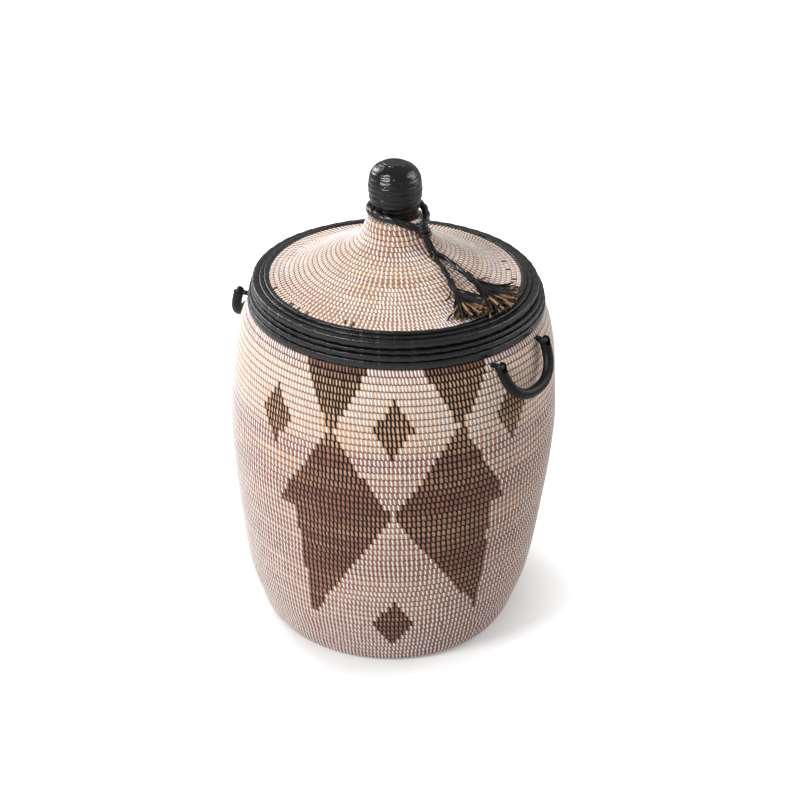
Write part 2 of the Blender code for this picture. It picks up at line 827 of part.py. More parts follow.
def make_handles(wall):
    for side, azimuth in HANDLE_AZIMUTHS.items():
        place = at_azimuth(hinge_reach(), azimuth, hinge_height())
        hinge = empty(f"{side}_handle_hinge", place, azimuth)
        make_handle_core(side, hinge)
        make_handle_grip(side, hinge)
        for end, across in (("front", -HANDLE_HALF_SPAN), ("back", HANDLE_HALF_SPAN)):
            make_lace(side, end, across, hinge)
            cut_lace_slot(wall, side, end, across, hinge)


# Tassel


def loop_radius():
    return KNOB_NECK_RADIUS + LOOP_CLEARANCE + LOOP_CORD_RADIUS


def knot_centre():
    radius = loop_radius() + KNOT_OUTSET
    return at_azimuth(radius, KNOT_AZIMUTH, knob_foot() - KNOT_DROP)


def loop_line():
    """Centreline of the loop round the knob's neck: it sinks and widens towards the knot."""
    turns = np.linspace(0, 360, 145)[1:-1]
    away = np.minimum(turns, 360 - turns)
    pull = np.exp(-((away / 38) ** 2))
    radii = loop_radius() + LOOP_SPREAD * pull
    heights = knob_foot() + LOOP_HEIGHT - LOOP_SAG * pull
    points = [
        at_azimuth(radius, KNOT_AZIMUTH + turn, height)
        for radius, turn, height in zip(radii, turns, heights)
    ]
    return np.array(points)


def make_loop():
    line = loop_line()
    from_knot = np.linalg.norm(line - knot_centre(), axis=1)
    line = line[from_knot > TASSEL_KNOT_RADIUS + SEAT_GAP + LOOP_CORD_RADIUS / 2]
    centres = read_line(line, np.linspace(0, along(line)[-1], SMALL_SEGMENTS + 1))
    sections = [circle(CORD_SIDES) * LOOP_CORD_RADIUS] * len(centres)
    up = np.array((0, 0, 1.0))
    sweep("tassel_loop", centres, sections, up, "leather_lace")


def strand_start(side):
    """Two points where a strand leaves the knot, beside the other strand and straight."""
    fall = math.radians(STRAND_LEAVING_FALL)
    flat = at_azimuth(math.cos(fall), STRAND_LEAVING_AZIMUTH)
    direction = flat - np.array((0, 0, math.sin(fall)))
    apart = STRAND_RADIUS + STRAND_SPACING / 2
    sideways = at_azimuth(-apart if side == "left" else apart, STRAND_LEAVING_AZIMUTH + 90)
    face = TASSEL_KNOT_RADIUS + SEAT_GAP
    return [knot_centre() + sideways + direction * reach for reach in (face, face + STRAND_LEAD)]


def strand_line(side):
    """Smooth line of a strand, from the knot to its binding."""
    route = STRAND_ROUTE_SHARES[side]
    low = STRAND_RADIUS + STRAND_CLEARANCE
    high = BINDING_RADIUS + STRAND_CLEARANCE
    heights = np.linspace(low, high, len(route))
    points = [above_lid(*place, height) for place, height in zip(route, heights)]
    return smooth_line([*strand_start(side), *points])


def make_strand(side):
    """Limp braided cord, as a round bevelled curve with closed ends."""
    line = strand_line(side)
    length = along(line)[-1]
    count = round(length / (5 * STRAND_RADIUS)) + 1
    points = read_line(line, np.linspace(0, length, count))
    curve = bpy.data.curves.new(f"tassel_strand_{side}", "CURVE")
    curve.dimensions = "3D"
    spline = curve.splines.new("POLY")
    spline.points.add(count - 1)
    for point, place in zip(spline.points, points):
        point.co = (*place, 1.0)
    curve.bevel_depth = STRAND_RADIUS
    curve.bevel_resolution = 2
    curve.use_fill_caps = True
    add_object(f"tassel_strand_{side}", curve, "leather_lace")


def make_binding(side):
    """Thread wound round the end of a strand, where the fringe is tied in."""
    line = strand_line(side)
    onward = unit(line[-1] - line[-4])
    start = line[-1] + onward * SEAT_GAP
    centres = start + onward * np.linspace(0, BINDING_LENGTH, 5)[:, None]
    swell = (0.86, 1.0, 0.94, 1.0, 0.86)
    sections = [circle(CORD_SIDES) * BINDING_RADIUS * size for size in swell]
    name = f"tassel_binding_{side}"
    sweep(name, centres, sections, np.array((0, 0, 1.0)), "leather_lace")
    return start + onward * (BINDING_LENGTH + SEAT_GAP)


def deck_height(radius):
    """Height of what lies below the fringes: the stitched lid, then the leather rows."""
    leather_top = lid_rim_rows()[-1][1] + LID_RIM_ROW / 2
    onto_leather = radius > lid_coil_radius() - LID_RIM_ROW
    return max(float(lid_top(radius)), leather_top if onto_leather else 0)


def fringe_point(root, heading, distance, offset):
    """Point of a fringe strip: it leaves the binding at its height and settles on the lid."""
    forward = at_azimuth(1, heading)
    sideways = at_azimuth(1, heading + 90)
    place = root + forward * distance + sideways * offset
    radius = float(np.hypot(place[0], place[1]))
    ground = deck_height(radius) + FRINGE_CLEARANCE + FRINGE_THICKNESS / 2
    settle = min(distance / (4 * BINDING_RADIUS), 1)
    place[2] = max(ground, root[2] * (1 - settle) + ground * settle)
    return place


def fringe_row(shape, root, heading, distance, offsets):
    """Vertices across a fringe, or across one of its strips, at a distance from its root."""
    return [shape.verts.new(fringe_point(root, heading, distance, offset)) for offset in offsets]


def make_fringe(side, root):
    """Fan of leather strips that grow out of one root behind the binding."""
    strips = FRINGE_STRIP_SHARES[side]
    reach = FRINGE_LENGTHS[side]
    shape = bmesh.new()
    middle = (strips[0][0] + strips[-1][0]) / 2
    bend = FRINGE_ROOT_WIDTH
    offsets = np.linspace(-bend / 2, bend / 2, 2 * len(strips))
    first = fringe_row(shape, root, middle, 0, offsets)
    second = fringe_row(shape, root, middle, bend, 2 * offsets)
    skin(shape, [first, second], wrap=False)
    for number, (heading, length_share) in enumerate(strips):
        sides = second[2 * number : 2 * number + 2]
        half_width = (sides[1].co - sides[0].co).length / 2
        rows = [sides]
        for share in (0.45, 0.75, 1.0):
            distance = bend + (reach * length_share - bend) * share
            rows.append(fringe_row(shape, root, heading, distance, (-half_width, half_width)))
        skin(shape, rows, wrap=False)
    bmesh.ops.recalc_face_normals(shape, faces=shape.faces)
    name = f"tassel_fringe_{side}"
    made = add_object(name, mesh_from_bmesh(name, shape), "leather_fringe")
    thick = made.modifiers.new("thickness", "SOLIDIFY")
    thick.thickness = FRINGE_THICKNESS
    thick.offset = 0
    return made


def make_tassel():
    make_loop()
    ball("tassel_knot", TASSEL_KNOT_RADIUS, "leather_lace", knot_centre())
    for side in STRAND_ROUTE_SHARES:
        make_strand(side)
        make_fringe(side, make_binding(side))


def build():
    clear_scene()
    wall = make_wall()
    make_base()
    make_body_rim()
    make_lid_coil()
    make_lid_rim()
    make_locating_ring()
    make_knob()
    make_handles(wall)
    make_tassel()


build()
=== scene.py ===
# %% [markdown]
# # A lidded seagrass basket
# The real basket is one long bundle of dry grass, wound in a spiral and held by flat plastic
# strips that are stitched through the row below. White strips make the ground and black strips
# the figures. Leather covers the rows at the mouth and at the lid's edge, the knob and the two
# handles, and a leather tassel hangs from the knob.
#
# The packed model has every place and size, but plain solids. They could be dressed by painting
# the weave on them, which looks flat wherever rows and strips stand out against the light. So
# each cell below replaces some of them with surfaces of the real shape, made as arrays of points.

import json
import math

import bmesh
import bpy
import numpy as np
from mathutils import Matrix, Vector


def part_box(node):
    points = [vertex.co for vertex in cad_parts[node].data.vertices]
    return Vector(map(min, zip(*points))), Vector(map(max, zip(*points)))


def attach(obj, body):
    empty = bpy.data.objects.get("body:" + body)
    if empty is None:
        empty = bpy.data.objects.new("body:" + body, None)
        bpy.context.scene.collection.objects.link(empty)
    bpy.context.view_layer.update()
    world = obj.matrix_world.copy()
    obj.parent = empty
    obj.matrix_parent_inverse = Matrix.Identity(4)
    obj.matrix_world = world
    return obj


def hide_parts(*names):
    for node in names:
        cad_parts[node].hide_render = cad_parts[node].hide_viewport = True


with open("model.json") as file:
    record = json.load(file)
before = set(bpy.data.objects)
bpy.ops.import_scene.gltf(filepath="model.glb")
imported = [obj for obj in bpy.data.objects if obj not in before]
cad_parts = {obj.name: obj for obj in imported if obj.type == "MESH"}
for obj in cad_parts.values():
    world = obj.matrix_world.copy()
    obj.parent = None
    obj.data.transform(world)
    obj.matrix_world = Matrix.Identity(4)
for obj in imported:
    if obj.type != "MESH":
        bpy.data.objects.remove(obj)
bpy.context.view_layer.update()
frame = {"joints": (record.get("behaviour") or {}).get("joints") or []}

# %% [markdown]
# What the packed model fixes is read from the boxes of its solids, so that a change there is
# followed here. Only what a box doesn't say is written down again, in metres.

# %% Boxes of the solids, and new objects


def lowest(node):
    """Lowest x, y and z of a packed solid."""
    return [float(value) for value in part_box(node)[0]]


def highest(node):
    """Highest x, y and z of a packed solid."""
    return [float(value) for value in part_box(node)[1]]


def add_object(name, data):
    """New object at the origin, linked into the scene."""
    made = bpy.data.objects.new(name, data)
    bpy.context.scene.collection.objects.link(made)
    return made


print("wall", round(highest("wall_coil")[2], 4), "m and lid", round(highest("lid_coil")[2], 4), "m high")

# %% [markdown]
# ## The camera
# The picture was taken from a little above, with the pattern in front. A camera could be moved by
# eye until the basket fills the frame, but lens and distance then trade places unseen. These
# values come from the heights of the rows and the widths of the outline in the picture, which
# only one lens and one place fit together.

# %% Place and lens of the camera
PICTURE_HEIGHT = 800
FOCAL_PIXELS = 1569.5
SHIFT_PIXELS = 2.4
FILM = 36.0
CAMERA_PLACE = (0.0, -1.680, 1.2604)
CAMERA_PITCH = math.radians(30.25)
CAMERA_ROLL = math.radians(0.83)

camera = add_object("camera", bpy.data.cameras.new("camera"))
camera.data.sensor_fit = "VERTICAL"
camera.data.sensor_height = FILM
camera.data.lens = FILM * (FOCAL_PIXELS / PICTURE_HEIGHT)
camera.data.shift_x = SHIFT_PIXELS / PICTURE_HEIGHT
turn_down = Matrix.Rotation(math.pi / 2 - CAMERA_PITCH, 4, "X")
roll = Matrix.Rotation(CAMERA_ROLL, 4, "Z")
camera.matrix_world = Matrix.Translation(CAMERA_PLACE) @ turn_down @ roll
bpy.context.scene.camera = camera
bpy.context.scene.view_settings.view_transform = "Standard"
print("lens", round(camera.data.lens, 1), "mm on a film", FILM, "mm high")

# %% [markdown]
# ## Looks
# A look is a tree of shader nodes. Written node by node, a sum of three values takes a line for
# every node and hides what it says. A small class that overloads the operators lets it be written
# as a sum, and adds the nodes itself.

# %% A wire between two nodes


class Wire:
    """One output of a shader node. Wires add, subtract and multiply like numbers."""

    def __init__(self, look, socket):
        self.look = look
        self.socket = socket

    def math(self, operation, other, swap=False):
        pair = (other, self) if swap else (self, other)
        return self.look.node("Math", dict(enumerate(pair)), operation=operation)

    def __add__(self, other):
        return self.math("ADD", other)

    def __sub__(self, other):
        return self.math("SUBTRACT", other)

    def __rsub__(self, other):
        return self.math("SUBTRACT", other, swap=True)

    def __mul__(self, other):
        return self.math("MULTIPLY", other)

    __radd__ = __add__
    __rmul__ = __mul__


# %% [markdown]
# One method makes any node from its kind, its settings and its inputs, and short methods name the
# few kinds that these looks need. Patterns are read from each piece's own UV map, in metres, or
# from values kept on its points, so they follow the spiral and don't slide when a piece moves.

# %% A material and its nodes
LOOKS = {}


class Look:
    """A material that is being made."""

    def __init__(self, name):
        self.name = name
        self.material = bpy.data.materials.new(name)
        self.material.use_nodes = True
        self.tree = self.material.node_tree
        self.shader = self.tree.nodes["Principled BSDF"]

    def plug(self, value, socket):
        """Link a wire to a socket, or set the socket's own value."""
        if isinstance(value, Wire):
            self.tree.links.new(value.socket, socket)
        elif isinstance(value, tuple) and len(value) == 3 and socket.type == "RGBA":
            socket.default_value = (*value, 1.0)
        else:
            socket.default_value = value

    def node(self, kind, inputs=None, output=0, **settings):
        made = self.tree.nodes.new(f"ShaderNode{kind}")
        for name, value in settings.items():
            setattr(made, name, value)
        for name, value in (inputs or {}).items():
            self.plug(value, made.inputs[name])
        return Wire(self, made.outputs[output])

    def mix(self, share, first, second):
        """Colour (1 - share) * first + share * second."""
        return self.node("Mix", {0: share, 6: first, 7: second}, output=2, data_type="RGBA")

    def shade(self, colour, amount):
        """A colour times a number."""
        return self.node("VectorMath", {0: colour, 3: amount}, operation="SCALE")

    def value(self, name):
        """A value kept on the points of the mesh."""
        return self.node("Attribute", output=2, attribute_name=name)

    def noise(self, vector, detail=2.0, rough=0.5, scale=1.0):
        inputs = {"Vector": vector, "Scale": scale, "Detail": detail, "Roughness": rough}
        return self.node("TexNoise", inputs)

    def stretch(self, along, around):
        """The piece's UV map, in metres, times the waves per metre along and around it."""
        uv = self.node("UVMap", uv_map="UVMap")
        return self.node("VectorMath", {0: uv, 1: (along, around, 1.0)}, operation="MULTIPLY")

    def limits(self, value, low, high):
        """0 below low, 1 above high and a straight ramp between."""
        return self.node("MapRange", {"Value": value, "From Min": low, "From Max": high})

    def bump(self, height, distance, strength):
        return self.node("Bump", {"Height": height, "Distance": distance, "Strength": strength})

    def finish(self, **inputs):
        """Plug the inputs into the Principled shader and keep the material by the look's name."""
        for name, value in inputs.items():
            self.plug(value, self.shader.inputs[name.replace("_", " ")])
        LOOKS[self.name] = self.material
        print("look", self.name, "of", len(self.tree.nodes), "nodes")


# %% [markdown]
# Dry grass is a bundle of stalks: fine fibres run along it, each handful has its own colour, and
# painted shade darkens the grooves. A picture of grass would repeat along so long a spiral.
# Two stretched noises never do: a fine one for the fibres and a broad one for the handfuls.

# %% Dry grass


def grass_look(name, light, dark, red, groove):
    """Fibres along the bundle, handfuls that turn from light to red by the value tint, and painted shade
    in the grooves by the value hump.
    """
    look = Look(name)
    fibre = look.noise(look.stretch(90.0, 2600.0), detail=3.0, rough=0.6)
    handful = look.noise(look.stretch(14.0, 160.0))
    redness = look.limits(look.value("tint") + (handful - 0.5) * 0.9, 0.25, 0.75)
    tone = look.mix(redness, light, red)
    tone = look.mix(look.limits(fibre, 0.35, 0.8) * 0.6, tone, dark)
    look.finish(
        # painted shade: at the groove's edge, where hump is 0, the colour keeps only the share groove
        Base_Color=look.shade(tone, groove + look.value("hump") * (1.0 - groove)),
        Roughness=0.65,
        Specular_IOR_Level=0.25,
        Normal=look.bump(fibre, 0.0005, 0.7),
    )


# groove: how dark the painted shade is at the edge of each row
grass_look(
    "grass_wall", light=(0.86, 0.52, 0.31), dark=(0.17, 0.070, 0.040), red=(0.46, 0.205, 0.14),
    groove=0.04,
)
grass_look(
    "grass_lid", light=(0.70, 0.41, 0.22), dark=(0.22, 0.090, 0.050), red=(0.44, 0.19, 0.12),
    groove=0.12,
)

# %% [markdown]
# The strips are drawn plastic, nearly flat in colour, with fine lines along them. One colour for
# all would look printed, so each strip has its own tone. Where a strip dives in between the rows,
# its colour turns to a brown painted shade of the groove.

# %% Plastic strips
STRIP_COLOUR = (0.95, 0.93, 0.92)


def strip_look(name, colour, painted_groove_shade, roughness, spread):
    """Colour at the crest, painted groove shade where it dives in, by hump, times a tone per strip."""
    look = Look(name)
    lines = look.noise(look.stretch(60.0, 5200.0), detail=1.0)
    shade = (1.0 - spread) + look.value("tone") * spread
    look.finish(
        Base_Color=look.shade(look.mix(look.value("hump"), painted_groove_shade, colour), shade),
        Roughness=roughness + (lines - 0.5) * 0.15,
        Specular_IOR_Level=0.35,
        Normal=look.bump(lines, 0.0002, 0.5),
    )


strip_look("strip_white", STRIP_COLOUR, painted_groove_shade=(0.28, 0.16, 0.105), roughness=0.40, spread=0.09)
# the lid's strips: the same plastic with a lighter painted groove shade
strip_look("strip_lid", STRIP_COLOUR, painted_groove_shade=(0.60, 0.45, 0.36), roughness=0.40, spread=0.09)
strip_look(
    "strip_black", (0.0050, 0.0040, 0.0040), painted_groove_shade=(0.0020, 0.0015, 0.0015), roughness=0.30,
    spread=0.5,
)

# %% [markdown]
# The leather is dyed black. Wrinkles run across the winding, a fine grain lies over them, and the
# dye is a little paler where hands and edges rub. Black shows its shape by its gloss alone, so
# the bump and the roughness do most of the work, and each use of leather has its own.

# %% Leather
WORN_COLOUR = (0.020, 0.020, 0.023)


def leather_look(name, colour, roughness, wrinkle, depth, sheen):
    """Wrinkles of the given waves per metre, a fine grain, and paler worn places."""
    look = Look(name)
    crease = look.noise(look.stretch(*wrinkle), detail=3.0, rough=0.55)
    place = look.node("TexCoord", output=3)
    grain = look.node("TexVoronoi", {"Vector": place, "Scale": 1400.0})
    cloud = look.noise(place, detail=3.0, scale=55.0)
    rubbed = look.limits(cloud * 0.6 + crease * 0.4, 0.5, 0.72)
    height = crease + grain * 0.12 + cloud * 0.4
    look.finish(
        Base_Color=look.mix(rubbed * 0.5, colour, WORN_COLOUR),
        Roughness=roughness + (cloud - 0.5) * 0.3,
        Specular_IOR_Level=sheen,
        Normal=look.bump(height, depth, 0.8),
    )


for name, colour, roughness, wrinkle, depth, sheen in (
    ("leather_rim", (0.0045, 0.0045, 0.0062), 0.27, (420.0, 60.0), 0.0008, 0.58),
    ("leather_knob", (0.0022, 0.0022, 0.0024), 0.12, (260.0, 90.0), 0.0011, 0.60),
    ("leather_handle", (0.0050, 0.0050, 0.0058), 0.40, (420.0, 110.0), 0.0006, 0.28),
    ("leather_cord", (0.0050, 0.0050, 0.0055), 0.27, (300.0, 500.0), 0.0005, 0.55),
):
    leather_look(name, colour, roughness, wrinkle, depth, sheen)

# %% [markdown]
# The strips of the fringe are cut from thin leather: dyed on the face, and raw tan where they are
# cut or turned over. A value on the points says where, so that one material does for both.

# %% Cut leather


def fringe_look(name, black, tan, umber):
    """Black, or a fibrous mix of tan and umber where the value raw says so."""
    look = Look(name)
    fibre = look.noise(look.stretch(160.0, 2400.0))
    raw = look.limits(look.value("raw") + (fibre - 0.5) * 0.5, 0.35, 0.6)
    inner = look.shade(look.mix(fibre, tan, umber), 0.45 + look.value("tone") * 0.8)
    look.finish(
        Base_Color=look.mix(raw, black, inner),
        Roughness=0.5 + raw * 0.2,
        Specular_IOR_Level=0.4,
        Normal=look.bump(fibre, 0.0003, 0.6),
    )


fringe_look("leather_fringe", (0.008, 0.008, 0.009), (0.66, 0.41, 0.22), (0.16, 0.075, 0.030))

# %% [markdown]
# ## Meshes from arrays
# Bundles, strips, cords and leather are all tubes: rings of corners joined by quads, with a cap at
# each end or joined end to end. Curves with a bevel could make them, but carry no values on their
# points and no UV map in metres. One function turns an array of points into such a mesh instead.

# %% Faces of closed tubes


def quad_grid(tubes, rings, corners, closed):
    """Corner numbers of the quads, and their ring and corner counts on the unrolled UV map."""
    ring = np.arange(rings if closed else rings - 1)
    tube, ring, corner = np.meshgrid(np.arange(tubes), ring, np.arange(corners), indexing="ij")
    rows = np.stack([ring, ring, ring + 1, ring + 1], axis=-1)
    columns = np.stack([corner, corner + 1, corner + 1, corner], axis=-1)
    numbers = (tube[..., None] * rings + rows % rings) * corners + columns % corners
    return [grid.reshape(-1, 4) for grid in (numbers, rows, columns)]


def signed_volume(points, quads):
    """Six times the volume that the quads enclose: the sum of p0 . (p1 x p2) + p0 . (p2 x p3)."""
    a, b, c, d = (points[quads[:, k]] for k in range(4))
    return float((a * (np.cross(b, c) + np.cross(c, d))).sum())


print("a tube of 3 rings with 4 corners has", len(quad_grid(1, 3, 4, False)[0]), "sides")

# %% [markdown]
# A line of points is measured by adding up its steps. The UV map holds these lengths, so a
# pattern keeps its real size on a thin strip and on a thick bundle alike.

# %% Lengths, the UV map and the place of a piece


def along(points):
    """Distance along a line of points: s[k] = sum of |p[i] - p[i-1]| up to k."""
    return np.concatenate([[0.0], np.cumsum(np.linalg.norm(np.diff(points, axis=0), axis=1))])


def add_uv(mesh, points, rows, columns, along_m, around_m):
    """UV map: u is the way along the tube and v the way around it, both in metres."""
    if along_m is None:
        along_m = along(points[0].mean(axis=1))
    if around_m is None:
        middle = points[0, points.shape[1] // 2]
        around_m = along(np.vstack([middle, middle[:1]]))
    along_m = np.append(along_m, 2 * along_m[-1] - along_m[-2])
    uv = np.zeros((len(mesh.loops), 2))
    uv[: len(rows), 0] = along_m[rows]
    uv[: len(rows), 1] = around_m[columns]
    mesh.uv_layers.new(name="UVMap").uv.foreach_set("vector", uv.reshape(-1))


def place_piece(name, mesh, kind, replaced):
    """Object with kind's look, riding on kind's body, standing for the packed solids that it replaces;
    kind's slot is not used.
    """
    look, body, slot = kind
    piece = add_object(name, mesh)
    mesh.materials.append(LOOKS[look])
    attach(piece, body)
    if replaced:
        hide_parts(*replaced)
    return piece


print("a step of 3 by 4 is", along(np.array(((0, 0), (3, 4))))[-1], "long")

# %% [markdown]
# The faces are turned outwards by the sign of the volume that they enclose, which holds for any
# closed shape and needs no look at single faces. Values such as a row's tint go on the points.

# %% One mesh from many tubes


def tube_mesh(name, points, kind, replaced=(), closed=False, along_m=None, around_m=None, values=None):
    """Closed tubes from points[tube, ring, corner], riding on a body, with a UV map in metres."""
    points = np.asarray(points, float)
    points = points[None] if points.ndim == 3 else points
    shape = points.shape[:3]
    flat = points.reshape(-1, 3)
    quads, uv_rows, uv_columns = quad_grid(*shape, closed)
    numbers = np.arange(len(flat)).reshape(shape)
    caps = numbers[:0, 0] if closed else np.concatenate([numbers[:, 0, ::-1], numbers[:, -1]])
    if signed_volume(flat, quads) < 0:
        grids = (quads, caps, uv_rows, uv_columns)
        quads, caps, uv_rows, uv_columns = (grid[:, ::-1] for grid in grids)
    mesh = bpy.data.meshes.new(name)
    mesh.vertices.add(len(flat))
    mesh.vertices.foreach_set("co", flat.reshape(-1))
    loops = np.concatenate([quads.reshape(-1), caps.reshape(-1)])
    starts = np.concatenate([np.arange(len(quads)) * 4, quads.size + np.arange(len(caps)) * shape[2]])
    mesh.loops.add(len(loops))
    mesh.loops.foreach_set("vertex_index", loops)
    mesh.polygons.add(len(starts))
    mesh.polygons.foreach_set("loop_start", starts)
    add_uv(mesh, points, uv_rows.reshape(-1), uv_columns.reshape(-1), along_m, around_m)
    for label, value in (values or {}).items():
        layer = mesh.attributes.new(label, "FLOAT", "POINT")
        layer.data.foreach_set("value", np.broadcast_to(value, shape).reshape(-1))
    mesh.update(calc_edges=True)
    mesh.validate()
    mesh.shade_smooth()
    return place_piece(name, mesh, kind, replaced)


# %% [markdown]
# A cord's route is a few given points. A curve that passes through all of them, read at
# equal steps, keeps the route and has no corners.

# %% Smooth lines


def read_line(points, distances):
    """Points at the distances given along a line of points."""
    places = along(points)
    return np.stack([np.interp(distances, places, column) for column in points.T], axis=-1)


def smooth_line(points, count):
    """Catmull-Rom curve through the points, read at equal steps."""
    points = np.asarray(points, float)
    padded = np.vstack([2 * points[0] - points[1], points, 2 * points[-1] - points[-2]])
    t = np.linspace(0, 1, 24, endpoint=False)[:, None]
    spans = []
    for a, b, c, d in zip(padded, padded[1:], padded[2:], padded[3:]):
        bend = 2 * a - 5 * b + 4 * c - d
        twist = 3 * b - a - 3 * c + d
        spans.append((2 * b + (c - a) * t + bend * t**2 + twist * t**3) / 2)
    dense = np.vstack([*spans, points[-1]])
    return read_line(dense, np.linspace(0, along(dense)[-1], count))


print("three points read at five places:", len(smooth_line(np.eye(3), 5)))

# %% [markdown]
# A cord, lace or handle is a section carried along a line. Its frame at each point comes from the
# line's direction and one fixed direction, so that it never twists by itself. Where a cord is
# laid from strands, the section's radius swells over each strand and turns with the way along.

# %% Sections along a line
UP = np.array((0.0, 0.0, 1.0))


def sweep_points(centres, sections, across):
    """points[ring, corner]: centre + side * a + up * b for each section point (a, b)."""
    tangents = np.gradient(centres, axis=0)
    tangents /= np.linalg.norm(tangents, axis=1)[:, None]
    sides = across - tangents * np.sum(tangents * across, axis=1)[:, None]
    sides /= np.linalg.norm(sides, axis=1)[:, None]
    ups = np.cross(tangents, sides)
    sections = np.broadcast_to(sections, (len(centres), *np.shape(sections)[-2:]))
    return centres[:, None] + sides[:, None] * sections[..., :1] + ups[:, None] * sections[..., 1:]


def circle(corners):
    """Points (cos a, sin a) at equal turns."""
    turn = 2 * np.pi * np.arange(corners) / corners
    return np.column_stack([np.cos(turn), np.sin(turn)])


def closed_sweep(ring, radius, corners, across):
    """Round section along a ring that meets itself, framed with its neighbours at both ends."""
    around = np.vstack([ring[-1:], ring, ring[:1]])
    return sweep_points(around, circle(corners) * radius, across)[1:-1]


def twisted_sections(line, radius, strands, lay, depth, corners=24):
    """Rope of several strands: r(s, a) = R (1 - d + d |cos(n (a - 2 pi s / lay) / 2)|)."""
    turn = 2 * np.pi * np.arange(corners)[None, :] / corners
    angle = turn - 2 * np.pi * along(line)[:, None] / lay
    reach = radius * (1 - depth + depth * np.abs(np.cos(strands * angle / 2)))
    return reach[..., None] * np.stack([np.cos(turn), np.sin(turn)], axis=-1)


print("a circle of 24 corners is", round(along(circle(24))[-1], 3), "long without its last side")

# %% [markdown]
# ## The tassel's cords
# Two limp leather cords leave a knot at the knob's neck and lie on the lid, and each is two
# thinner cords laid together. They could be simulated, but the packed model holds their rest, so
# the route is the packed one.

# %% The two cords
STRAND_DIAMETER = 0.0044
STRAND_SWELL = 1.45
STRAND_LAY = 0.060
STRAND_HOLLOW = 0.42
STRAND_STEPS = 181
TASSEL_LEATHER = ("leather_cord", "tassel", "leather_lace")
STRAND_ROUTES = {
    "left": (
        (0.0340, -0.0343, 0.5151),
        (0.0355, -0.0350, 0.5115),
        (0.0419, -0.0358, 0.4957),
        (0.0474, -0.0412, 0.4916),
        (0.0525, -0.0490, 0.4879),
        (0.0590, -0.0615, 0.4821),
        (0.0631, -0.0718, 0.4772),
    ),
    "right": (
        (0.0360, -0.0298, 0.5151),
        (0.0375, -0.0305, 0.5115),
        (0.0462, -0.0300, 0.4957),
        (0.0544, -0.0314, 0.4916),
        (0.0624, -0.0356, 0.4879),
        (0.0729, -0.0441, 0.4821),
        (0.0835, -0.0514, 0.4759),
    ),
}

strand_lines = {side: smooth_line(route, STRAND_STEPS) for side, route in STRAND_ROUTES.items()}
for side, line in strand_lines.items():
    reach = STRAND_DIAMETER / 2 * STRAND_SWELL
    sections = twisted_sections(line, reach, 2, STRAND_LAY, STRAND_HOLLOW)
    tube_mesh(
        f"tassel_cord_{side}", sweep_points(line, sections, UP), TASSEL_LEATHER,
        (f"tassel_strand_{side}",),
    )
    print(side, "cord", round(along(line)[-1] * 1000, 1), "mm")

# %% [markdown]
# At the end of each cord a thread is wound round it and round the roots of the fringe. Single
# turns of thread would be thinner than a pixel, so the winding is one tube with a round ridge for
# every turn, fattest in its middle.

# %% Windings
BINDING_LENGTH = 0.0070
BINDING_RADIUS = 0.0036
BINDING_ENDS = 0.80
THREAD_WIDTH = 0.0011
THREAD_RIDGE = 0.06
SEAT_GAP = 0.0003


def unit(vector):
    """Vector of length 1 in the same direction."""
    return vector / np.linalg.norm(vector)


bindings, fringe_roots, onwards = {}, {}, {}
for side, line in strand_lines.items():
    onward = unit(line[-1] - line[-8])
    start = line[-1] + onward * SEAT_GAP
    way = np.linspace(0, BINDING_LENGTH, 49)
    bulge = np.sin(np.pi * way / BINDING_LENGTH) ** 0.5
    swell = BINDING_ENDS + (1 - BINDING_ENDS) * bulge
    ridge = 1 + THREAD_RIDGE * np.abs(np.sin(np.pi * way / THREAD_WIDTH))
    sections = (swell * ridge * BINDING_RADIUS)[:, None, None] * circle(16)
    points = sweep_points(start + onward * way[:, None], sections, UP)
    bindings[side] = tube_mesh(
        f"tassel_winding_{side}", points, TASSEL_LEATHER, (f"tassel_binding_{side}",)
    )
    fringe_roots[side] = start + onward * (BINDING_LENGTH + SEAT_GAP)
    onwards[side] = onward
    print(side, "winding of", round(BINDING_LENGTH / THREAD_WIDTH), "turns")

# %% [markdown]
# ## The ground under the fringe
# The fringe rests on the lid, which flares from the neck like a tent. An outline is easiest to
# judge by a few of its points, written as shares: how far along, and how far up. A curve that
# never swings past its points joins them, because a ripple in a lathe's outline shows all round.

# %% Curves through shares


def read_shares(shares, at):
    """Cubic Hermite curve. Each slope is the harmonic mean of its neighbours' slopes, or 0 at a turn."""
    places, values = np.array(shares).T
    steps = np.diff(values) / np.diff(places)
    slopes = np.concatenate([steps[:1], np.zeros(len(values) - 2), steps[-1:]])
    both = steps[:-1] * steps[1:] > 0
    slopes[1:-1][both] = 2 / (1 / steps[:-1][both] + 1 / steps[1:][both])
    at = np.clip(np.asarray(at, float), places[0], places[-1])
    k = np.clip(np.searchsorted(places, at, side="right") - 1, 0, len(places) - 2)
    width = places[k + 1] - places[k]
    t = (at - places[k]) / width
    start = values[k] * (1 + 2 * t) * (1 - t) ** 2 + slopes[k] * width * t * (1 - t) ** 2
    end = values[k + 1] * t**2 * (3 - 2 * t) + slopes[k + 1] * width * t**2 * (t - 1)
    return start + end


level = read_shares(((0, 0), (0.5, 1), (1, 1)), 0.75)
print("between two points of height 1 the curve stays at", float(level))

# %% The lid's outline and what lies on it
LID_OUTLINE_SHARES = (
    (0.0, 1.0),
    (0.035, 0.848),
    (0.081, 0.703),
    (0.143, 0.577),
    (0.225, 0.482),
    (0.41, 0.345),
    (0.59, 0.200),
    (0.77, 0.074),
    (0.88, 0.026),
    (1.0, 0.0),
)
NECK_RADIUS = 0.0325
LID_FOOT_LIFT = 0.0120
LEATHER_OVERLAP = 0.006
LID_EDGE_RADIUS = highest("lid_coil")[0]
LID_FOOT = lowest("lid_rim_coil_1")[2] + LID_FOOT_LIFT
LID_RUN = LID_EDGE_RADIUS - NECK_RADIUS
LID_RISE = highest("lid_coil")[2] - LID_FOOT
LEATHER_TOP = highest("lid_rim_coil_3")[2]


